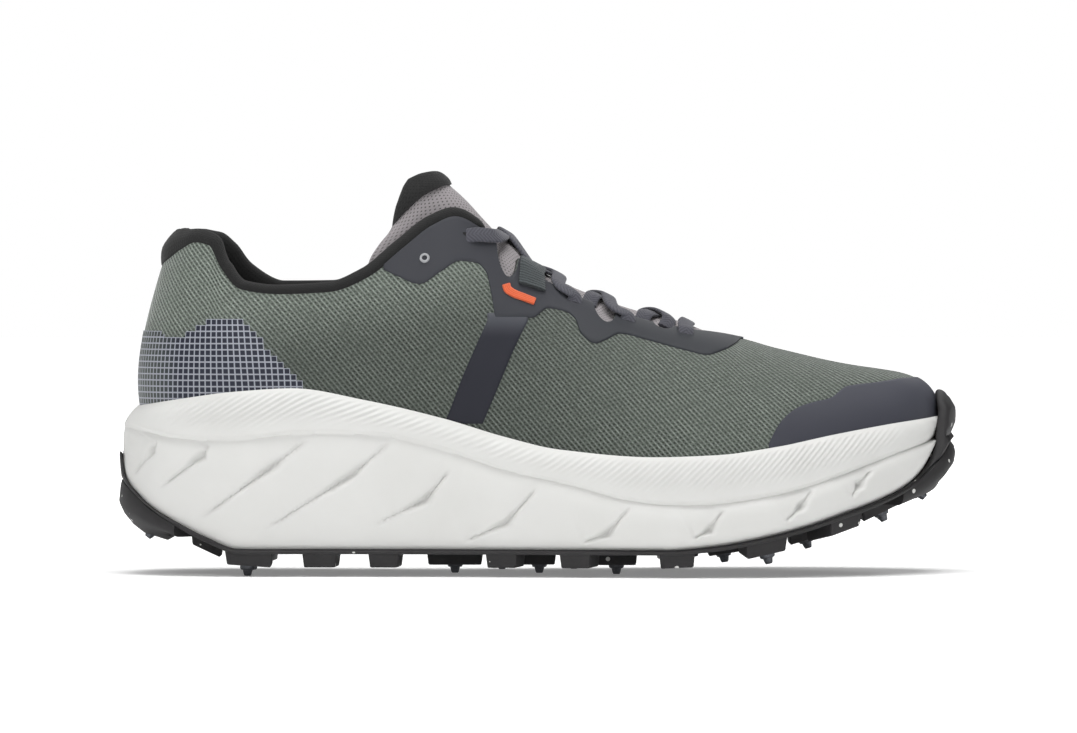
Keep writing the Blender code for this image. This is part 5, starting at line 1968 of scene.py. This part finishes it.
    def eyestay(self) -> None:
        """Film along both sides of the throat, joined in front of it, with the lace slots."""
        front = self.last.throat_front
        t = np.concatenate((np.linspace(self.eyestay_rear, front, 340),
                            np.linspace(front + 0.001, self.eyestay_tip, 5)))
        solids = []
        for side in Side:
            p = side.p_at(t)
            low = self.last.height_on_wall(p, lambda x: line(EYESTAY_EDGE, x))
            high = self.last.free_edge(p)
            s = self.spread(np.minimum(low, high - 0.03), high, 16, p)
            grid = np.repeat(p[:, None], s.shape[1], axis=1)
            rows = s.shape[1]
            depth = np.full(s.shape, self.lift)
            depth[:, 0], depth[:, 1] = self.edge_sink, self.edge_share * self.lift
            depth[0], depth[-1] = self.edge_sink, self.edge_sink
            at_throat = t < front
            depth[:, -1] = np.where(at_throat, self.tuck, self.lift)
            depth[:, -2] = np.where(at_throat, self.tuck_share * self.lift, self.lift)
            s[:, -1] += np.where(at_throat, self.tuck_s, 0)
            outer = self.last.skin(grid, s, depth)
            inner = self.last.skin(grid, np.minimum(s, 1.0), np.minimum(depth, 0) + 1.5 * self.sunk)
            solids.append(shell(outer, inner, grid_faces(len(t), rows)))
        film_points, film_faces = joined(solids)
        slots = joined([self.slot(side, row) for side in Side for row in (0, 1, 2, 4)])
        points, faces = joined([(film_points, film_faces), slots])
        picks = (np.arange(len(faces)) >= len(film_faces)).astype(int)
        Piece("eyestay_film", Slot.EYESTAY, (EYESTAY_FILM, PAINTED_HOLE_SHADE), ("eyestay",)).build(
            points, faces, picks=picks, weld=True)

    def slot(self, side: Side, row: int) -> Solid:
        """A lace slot: a dark oval let into the film, as painted shade where the opening is.

        Args:
            side: side of the shoe.
            row: row of the lace table.

        Returns:
            The points and faces.
        """
        share = self.slot_share
        t, s = (
            np.array(LACE_ROWS[f"{name}_slot"][row] * (1 - share) + LACE_ROWS[name][row] * share)
            for name in ("t", "s")
        )
        p = np.array(side.p_at(t))
        middle, normal = self.last.skin(p, s, self.lift + 0.02), self.last.wall_normal(p, s)
        run = self.last.wall(p + 1e-3, s) - self.last.wall(p - 1e-3, s)
        run = unit(run - (run @ normal) * normal)
        across = np.cross(normal, run)
        turn = np.arange(20) * math.tau / 20
        oval = np.cos(turn)[:, None] * run * self.slot_length / 2
        oval += np.sin(turn)[:, None] * across * self.slot_height / 2
        profile = ((1.0, 0.0), (0.94, 0.12), (0.8, -0.05))
        return tube(np.stack([middle + size * oval + height * normal for size, height in profile]))

    def straps(self) -> None:
        """Midfoot straps from under the eyestay down behind the sole's rim, one each side."""
        z = np.linspace(self.strap_top, self.strap_foot, 60)
        knots = STRAP["z"][::-1]
        rear, front = (
            hermite(knots, STRAP[name][::-1], flowing(knots, STRAP[name][::-1]), z)
            for name in ("x_rear", "x_front")
        )
        drop = np.minimum(z - knots[0], 0) * self.strap_slope
        share = np.concatenate(([0, 0.02], np.linspace(0.05, 0.95, 14), [0.98, 1]))
        x = (rear + drop)[:, None] * (1 - share) + (front + drop)[:, None] * share
        grid_z = np.repeat(z[:, None], len(share), axis=1)
        for side in Side:
            name = side.named("strap")
            p, s = self.last.on_wall(side, x, grid_z)
            thin = Overlays(self.last, lift=self.strap_lift)
            thin.film(Piece(f"{name}_film", Slot.STRAP, (STRAP_FILM,), (name,)), p, s)

    def tag(self) -> None:
        """Plain orange tab, bent where it turns up at its rear end."""
        spine = drawn(np.array([(x, 0.0, z) for x, z in self.tag_line]), 40)
        run = unit(np.gradient(spine, axis=0))
        across = np.stack((-run[:, 2], np.zeros(len(run)), run[:, 0]), axis=1)
        half = 1.15 + 0.25 * np.linspace(1, 0, 40)
        share = np.linspace(-1, 1, 9)
        flat = spine[:, None] + (half[:, None] * share)[..., None] * across[:, None]
        p, s = self.last.on_wall(Side.LATERAL, flat[..., 0], flat[..., 2])
        columns, rows = p.shape
        depth = np.full(p.shape, self.tag_lift)
        depth[:, [0, -1]] -= 0.25
        depth[[0, -1]] -= 0.25
        inner = self.last.skin(p, s, np.full_like(p, 0.2))
        solid = shell(self.last.skin(p, s, depth), inner, grid_faces(columns, rows))
        uv = flat_map(np.linspace(0, 14, columns), np.linspace(-1.5, 1.5, rows))
        piece = Piece("side_tab_orange", Slot.TAB, (TAB_WEAVE,), ("side_tag",))
        piece.build(*solid, uv=np.concatenate((uv, uv)))

    def eyelets(self) -> None:
        """Spare heel-lock eyelets near the collar's front, one each side."""
        turn = np.arange(32) * math.tau / 32
        profile = ((0.05, -0.1), (self.ring_hole, 0.0), (self.ring_hole, 0.5), (1.1, 0.66), (1.45, 0.62),
                   (self.ring_radius, 0.3), (1.85, -0.2))
        for side in Side:
            name = side.named("eyelet")
            p, s = self.last.on_wall(side, *self.eyelet)
            normal = self.last.wall_normal(p, s)
            across = unit(np.cross(normal, UP))
            rise = np.cross(across, normal)
            middle = self.last.skin(p, s, self.lift)
            spokes = np.cos(turn)[:, None] * across + np.sin(turn)[:, None] * rise
            rings = [middle + radius * spokes + height * normal for radius, height in profile]
            points, faces = tube(np.stack(rings))
            # The faces inside the ring are painted shade, standing in for the open hole
            dark = np.zeros(len(faces), dtype=int)
            dark[:len(turn)] = 1
            Piece(f"{name}_ring", Slot.EYELET, (RING, PAINTED_HOLE_SHADE), (name,)).build(points, faces, picks=dark)

    def build(self) -> None:
        """Make every overlay."""
        self.toe_cap()
        self.heel_counter()
        self.eyestay()
        self.straps()
        self.tag()
        self.eyelets()


@dataclass(frozen=True)
class Collar:
    """Padded binding round the collar, from one top corner of the throat to the other."""

    last: Last
    columns: int = 320
    ring: int = 30
    end: float = 0.431
    wall: float = 2.35

    def build(self) -> None:
        """Make the collar."""
        last = self.last
        p = np.linspace(-self.end, self.end, self.columns)
        brink = np.ones_like(p)
        edge, normal = last.wall(p, brink), last.wall_normal(p, brink)
        run = unit(last.wall(p + 1e-3, brink) - last.wall(p - 1e-3, brink))
        climb = unit(np.cross(run, normal))
        climb *= np.sign(climb[:, 2:])
        height, roll, pad, hang = (along(COLLAR, name, p) for name in ("height", "roll", "pad", "hang"))

        def placed(out: Array, up: Array) -> Array:
            """Row beside the top edge, that far out and up."""
            return edge + out[:, None] * normal + up[:, None] * climb

        def hung(depth: Array, down: Array) -> Array:
            """Row inside the upper, that deep under its surface and that far down."""
            low = 1 - down / (edge[:, 2] - last.foot(p)[:, 2])
            return last.wall(p, low) - depth[:, None] * last.wall_normal(p, low)

        control = np.stack((
            placed(0.15 * roll, -0.4 * brink),
            placed(roll, 0.45 * height),
            placed(-0.3 * pad, height),
            placed(-0.85 * pad, 0.7 * height),
            hung(pad + 0.3, 0.4 * hang),
            hung(self.wall * brink, hang),
            placed(-0.5 * self.wall * brink, -0.3 * brink),
        ))
        closed = np.concatenate((control[-2:], control, control[:3]))
        knots = np.arange(-2, len(control) + 3, dtype=float)
        turn = np.arange(self.ring) * len(control) / self.ring
        rings = hermite(knots, closed, flowing(knots, closed), turn).transpose(1, 0, 2)
        centre = rings.mean(axis=1, keepdims=True)
        near = np.clip(from_ends(self.columns) / 5, 0, 1)
        close = np.sqrt(np.clip(1 - (1 - near) ** 2, 0.04, 1))[:, None, None]
        rings = centre + close * (rings - centre)
        points, faces = tube(rings)
        uv = flat_map(lengths(edge), np.arange(self.ring))
        piece = Piece("collar_padding", Slot.LINING, (LINING,), ("collar",), sharp=80)
        piece.build(points, faces, uv=uv)


@dataclass(frozen=True)
class Tongue:
    """Padded tongue under the throat, with its free end and black tip."""

    last: Last
    axis_y: float = 2.5
    under: float = -1.8
    front_share: float = 2.2
    crown: float = 4.6
    # Places along the throat that the tongue is drawn through, and places up each section
    along_throat: tuple[float, ...] = (0.755, 0.72, 0.69, 0.65, 0.60, 0.55, 0.50, 0.465)
    up_section: tuple[float, ...] = (0.78, 0.90, 0.99)
    # Thickness from the front end to the free end, at shares of the length
    thickness: tuple[Sequence[float], Sequence[float]] = ((0, 0.7, 1), (2.4, 2.8, 4.2))
    tip_thickness: tuple[Sequence[float], Sequence[float]] = ((0, 0.4, 1), (5.6, 6.0, 4.6))
    length_rows: int = 120
    width_rows: int = 60
    tip_rows: int = 40

    def arc(self, rows: Table) -> Array:
        """A half ellipse from edge to edge over the centre line.

        Args:
            rows: table of the tongue's free end.

        Returns:
            Points across the tongue.
        """
        turn = np.linspace(-0.5, 0.5, 7) * math.pi
        back = 1 - np.cos(turn)
        x = rows["x_centre"][:, None] + (rows["x_edge"] - rows["x_centre"])[:, None] * back
        drop = back ** rows["bow"][:, None]
        z = rows["z_centre"][:, None] + (rows["z_edge"] - rows["z_centre"])[:, None] * drop
        y = self.axis_y + rows["half_width"][:, None] * np.sin(turn)
        return np.stack((x, y, z), axis=-1)

    def padded(self, piece: Piece, points: Array, thickness: Array, round_rows: int,
               lift: float = 0.0) -> None:
        """A stuffed sheet with rounded edges.

        Args:
            piece: what it is.
            points: rows of points across the sheet's upper face.
            thickness: thickness of each row.
            round_rows: rows over which the free end closes.
            lift: how far its upper face stands out from the points.
        """
        run = np.gradient(points, axis=0)
        across = np.gradient(points, axis=1)
        normal = unit(np.cross(across, run))
        rows, columns = points.shape[:2]
        from_side = from_ends(columns) / 5
        from_end = np.arange(rows)[::-1] / round_rows
        near = np.minimum(from_side[None], from_end[:, None])
        full = np.sqrt(np.clip(1 - (1 - np.clip(near, 0, 1)) ** 2, 0, 1))
        middle = points + (lift - 0.5 * thickness)[:, None, None] * normal
        half = (0.5 * thickness[:, None] * np.maximum(full, 0.03))[..., None] * normal
        steps = np.linalg.norm(np.diff(points, axis=0), axis=-1).mean(axis=1)
        widths = np.linalg.norm(np.diff(points, axis=1), axis=-1).mean(axis=0)
        u = np.concatenate(([0], np.cumsum(steps)))
        v = np.concatenate(([0], np.cumsum(widths)))
        uv = flat_map(u, v)
        solid = shell(middle + half, middle - half, grid_faces(rows, columns))
        made = piece.build(*solid, uv=np.concatenate((uv, uv)))

    def refined(self, points: Array, rows: int) -> Array:
        """A coarse sheet of points drawn smoothly with more rows and columns."""
        return drawn(drawn(points, rows).transpose(1, 0, 2), self.width_rows).transpose(1, 0, 2)

    def build(self) -> None:
        """Make the tongue and its tip."""
        t, spread = np.array(self.along_throat), np.array(self.up_section)
        deeper = np.where(t >= self.last.throat_front, self.front_share, 1)
        under = np.repeat(deeper[:, None] * self.under, len(spread), axis=1)
        lateral = self.last.skin(t[:, None], spread, under)
        medial = self.last.skin(2 - t[:, None], spread[::-1], under)
        across = medial[:, 0] - lateral[:, -1]
        covered = smooth(0.64, self.last.throat_front, t)[:, None]
        rise = np.minimum(self.crown, 0.2 * across[:, 1:2]) * (1 - covered)
        crown = lateral[:, -1] + 0.5 * across + rise * UP
        throat = np.concatenate((lateral, crown[:, None], medial), axis=1)
        points = np.concatenate((throat, self.arc(TONGUE_END)))
        sheet = self.refined(points, self.length_rows)
        thickness = np.interp(np.linspace(0, 1, self.length_rows), *self.thickness)
        piece = Piece("tongue_knit", Slot.TONGUE, (TONGUE_KNIT,), ("tongue",), sharp=80)
        self.padded(piece, sheet, thickness, round_rows=1)
        tip = self.refined(self.arc(TONGUE_TIP), self.tip_rows)
        thickness = np.interp(np.linspace(0, 1, self.tip_rows), *self.tip_thickness)
        piece = Piece("tongue_tip_padding", Slot.LINING, (LINING,), ("tongue_tip",), sharp=80)
        self.padded(piece, tip, thickness, round_rows=12, lift=0.7)


@dataclass(frozen=True)
class Lacing:
    """The flat lace through its slots, and the webbing loops half way up the throat."""

    last: Last
    width: float = 5.6
    thickness: float = 1.4
    loop_width: float = 10.4
    loop_thickness: float = 1.4
    edge_s: float = 0.99
    loop_row: int = 3
    loop_share: float = 0.55
    loop_root: float = 0.87
    loop_rise: float = 1.3
    loop_lace_rise: float = 1.5
    crown: float = 3.0
    film_lift: float = 0.6
    stations: int = 64
    ring: int = 20

    throat_up: ClassVar[Array] = np.array((0.45, 0.0, 0.89))

    def band(self, places: Sequence[Spot], width: float, thickness: float) -> Band:
        """A flat band with rounded edges through a few places.

        Args:
            places: points, each with the direction that the band's face looks.
            width: width of the band.
            thickness: thickness of the band.

        Returns:
            The points, the faces and the map in millimetres.
        """
        route, looks = (np.array([place[k] for place in places]) for k in (0, 1))
        knots = lengths(route)
        at = np.linspace(0, knots[-1], self.stations)
        route, looks = (hermite(knots, part, flowing(knots, part), at) for part in (route, looks))
        run = unit(np.gradient(route, axis=0))
        flat = unit(np.cross(looks, run))
        deep = unit(np.cross(run, flat))
        turn = np.arange(self.ring) * math.tau / self.ring
        across = np.sign(np.cos(turn)) * np.abs(np.cos(turn)) ** 0.5 * width / 2
        above = np.sign(np.sin(turn)) * np.abs(np.sin(turn)) ** 0.7 * thickness / 2
        rings = route[:, None] + across[:, None] * flat[:, None] + above[:, None] * deep[:, None]
        points, faces = tube(rings)
        return points, faces, flat_map(at + 1000, across)

    def on_film(self, side: Side, t: float, s: float, thickness: float) -> Spot:
        """A band that lies on the eyestay.

        Args:
            side: side of the shoe.
            t: place along that side.
            s: place up the section.
            thickness: thickness of the band.

        Returns:
            The band's middle, and the direction its face looks.
        """
        p = np.array(side.p_at(t))
        up = np.array(s)
        return self.last.skin(p, up, self.film_lift + thickness / 2), self.last.wall_normal(p, up)

    def into_slot(self, side: Side, row: int) -> Spot:
        """Where the lace dives into its slot."""
        p, s = np.array(side.p_at(LACE_ROWS["t_slot"][row])), np.array(LACE_ROWS["s_slot"][row])
        return self.last.skin(p, s, -0.8), self.last.wall_normal(p, s)

    def over_throat(self, side: Side, t: float, share: float, rise: float) -> Spot:
        """A place over the throat, a share of the way from one edge to the middle."""
        edge, other = (self.last.wall(np.array(k.p_at(t)), np.array(1.0)) for k in (side, side.other()))
        return edge + 0.5 * share * (other - edge) + rise * self.throat_up, self.throat_up

    def entering(self, side: Side, row: int) -> list[Spot]:
        """Places where a run comes over the throat's edge and down into its slot."""
        return [
            self.on_film(side, LACE_ROWS["t_edge"][row], self.edge_s, self.thickness),
            self.on_film(side, LACE_ROWS["t"][row], LACE_ROWS["s"][row], self.thickness),
            self.into_slot(side, row),
        ]

    def run(self, side: Side, low: int, high: int) -> Band:
        """A lace run from one side of the throat, over the tongue, to the other side's next row.

        Args:
            side: side where the run starts.
            low: row of the lace table where it starts.
            high: row where it ends.

        Returns:
            The points, the faces and the map.
        """
        t_low, t_high = LACE_ROWS["t"][low], LACE_ROWS["t"][high]
        if low == self.loop_row:
            start = [self.over_throat(side, t_low, self.loop_share, self.loop_lace_rise)]
        elif low == 0:
            start = self.from_under(side, t_low, t_high)
        else:
            start = self.entering(side, low)[::-1]
        if high == self.loop_row:
            end = [self.over_throat(side.other(), t_high, self.loop_share, self.loop_lace_rise)]
        elif high == len(LACE_ROWS["t"]) - 1:
            end = self.entering(side.other(), high)
        else:
            end = self.from_under(side.other(), t_high, t_low)[::-1]
        over = self.thickness if side is Side.LATERAL else 0.0
        middle = self.over_throat(side, 0.5 * (t_low + t_high), 1.0, self.crown + over)
        return self.band(start + [middle] + end, self.width, self.thickness)

    def from_under(self, side: Side, t: float, toward: float) -> list[Spot]:
        """Places where a run comes out from under the throat's edge, on its way to another row."""
        t = 0.7 * t + 0.3 * toward
        return [self.over_throat(side, t, share, rise) for share, rise in ((0.1, -0.9), (0.4, 2.2))]

    def dress(self, piece: Piece, bands: Sequence[Band]) -> None:
        """Join bands into one piece."""
        points, faces = joined([band[:2] for band in bands])
        piece.build(points, faces, uv=np.concatenate([band[2] for band in bands]))

    def build(self) -> None:
        """Make the lace and its loops."""
        t = LACE_ROWS["t"][0]
        bar = self.entering(Side.LATERAL, 0)[::-1] + [self.over_throat(Side.LATERAL, t, 1.0, self.crown)]
        bar += self.entering(Side.MEDIAL, 0)
        piece = Piece("lace_bar_weave", Slot.LACE, (LACE_WEAVE,), ("lace_bar",))
        self.dress(piece, [self.band(bar, self.width, self.thickness)])
        runs: dict[int, list[Band]] = {1: [], 2: [], 3: []}
        for row in range(len(LACE_ROWS["t"]) - 1):
            runs[min(row + 1, 3)] += [self.run(side, row, row + 1) for side in Side]
        for number, bands in runs.items():
            name = f"lace_cross_{number}"
            self.dress(Piece(f"{name}_weave", Slot.LACE, (LACE_WEAVE,), (name,)), bands)
        t = LACE_ROWS["t"][self.loop_row]
        for side in Side:
            name = side.named("lace_loop")
            rests = (self.loop_root, 0.95, self.edge_s)
            places = [self.on_film(side, t, s, self.loop_thickness) for s in rests]
            places.append(self.over_throat(side, t, 0.35, self.loop_rise + 1.0))
            places.append(self.over_throat(side, t, self.loop_share + 0.15, self.loop_rise))
            self.dress(Piece(f"{name}_webbing", Slot.WEBBING, (WEBBING,), (name,)),
                       [self.band(places, self.loop_width, self.loop_thickness)])


@dataclass(frozen=True)
class SoftBox:
    """A soft studio light: place and size in metres, and power in watts."""

    name: str
    place: tuple[float, float, float]
    size: tuple[float, float]
    power: float

    def build(self, aim: Vector) -> None:
        """Make the light.

        Args:
            aim: what it looks at.
        """
        lamp = bpy.data.lights.new(self.name, "AREA")
        lamp.shape = "RECTANGLE"
        lamp.size, lamp.size_y = self.size
        lamp.energy = self.power
        made = bpy.data.objects.new(self.name, lamp)
        made.location = self.place
        made.rotation_euler = (aim - Vector(self.place)).to_track_quat("-Z", "Y").to_euler()
        bpy.context.collection.objects.link(made)


@dataclass(frozen=True)
class Studio:
    """White floor, soft lights and a long lens. The distance and the floor's radius are metres."""

    frame_width: float = 385.6
    aim: tuple[float, float, float] = (0.2, 0.0, 73.9)
    distance: float = 3.0
    elevation: float = math.radians(0.8)
    sensor: float = 36.0
    floor_radius: float = 8.0
    sky: float = 0.1
    horizon: float = 1.0
    glow_band: tuple[float, float] = (0.06, 0.2)
    boxes: tuple[SoftBox, ...] = (
        SoftBox("top_box", (0.0, -0.25, 1.8), (1.4, 1.4), 36),
        SoftBox("front_box", (-0.6, -2.0, 1.4), (1.0, 0.8), 14),
        SoftBox("back_box", (0.4, 2.0, 1.4), (1.2, 0.8), 10),
    )

    def floor(self) -> None:
        """Round floor of white paper."""
        work = bmesh.new()
        bmesh.ops.create_circle(work, cap_ends=True, segments=96, radius=self.floor_radius)
        mesh = bpy.data.meshes.new("studio_floor")
        work.to_mesh(mesh)
        work.free()
        mesh.materials.append(FLOOR_PAPER.material())
        made = bpy.data.objects.new("studio_floor", mesh)
        bpy.context.collection.objects.link(made)

    def build(self) -> None:
        """Set up floor, lights, surroundings and camera."""
        scene = bpy.context.scene
        self.floor()
        aim = Vector(self.aim) * MM
        for box in self.boxes:
            box.build(aim)
        world = bpy.data.worlds.new("studio")
        world.use_nodes = True
        tree = world.node_tree
        look = add_node(tree, "TexCoord", {}, out="Generated")
        height = add_node(tree, "SeparateXYZ", {0: look}, out="Z")
        low, high = self.glow_band
        strength = add_node(tree, "MapRange", {"Value": height, "From Min": low, "From Max": high,
                                                         "To Min": self.horizon, "To Max": self.sky})
        feed(tree, tree.nodes["Background"], {"Color": (1, 1, 1, 1), "Strength": strength})
        scene.world = world
        scene.view_settings.view_transform = "Standard"
        lens = bpy.data.cameras.new("camera")
        lens.sensor_width = self.sensor
        lens.lens = self.sensor * self.distance / (self.frame_width * MM)
        lens.clip_end = 30
        camera = bpy.data.objects.new("camera", lens)
        away = Vector((0, -math.cos(self.elevation), math.sin(self.elevation)))
        camera.location = aim + self.distance * away
        camera.rotation_euler = (math.pi / 2 - self.elevation, 0, 0)
        bpy.context.collection.objects.link(camera)
        scene.camera = camera


def main() -> None:
    """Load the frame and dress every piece."""
    logging.basicConfig(level=logging.INFO, format="%(message)s")
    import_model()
    last = Last()
    Midsole(last).build()
    Outsole(last).build()
    Insole(last).build()
    Upper(last).build()
    Overlays(last).build()
    Collar(last).build()
    Tongue(last).build()
    Lacing(last).build()
    Studio().build()


if __name__ == "__main__":
    main()
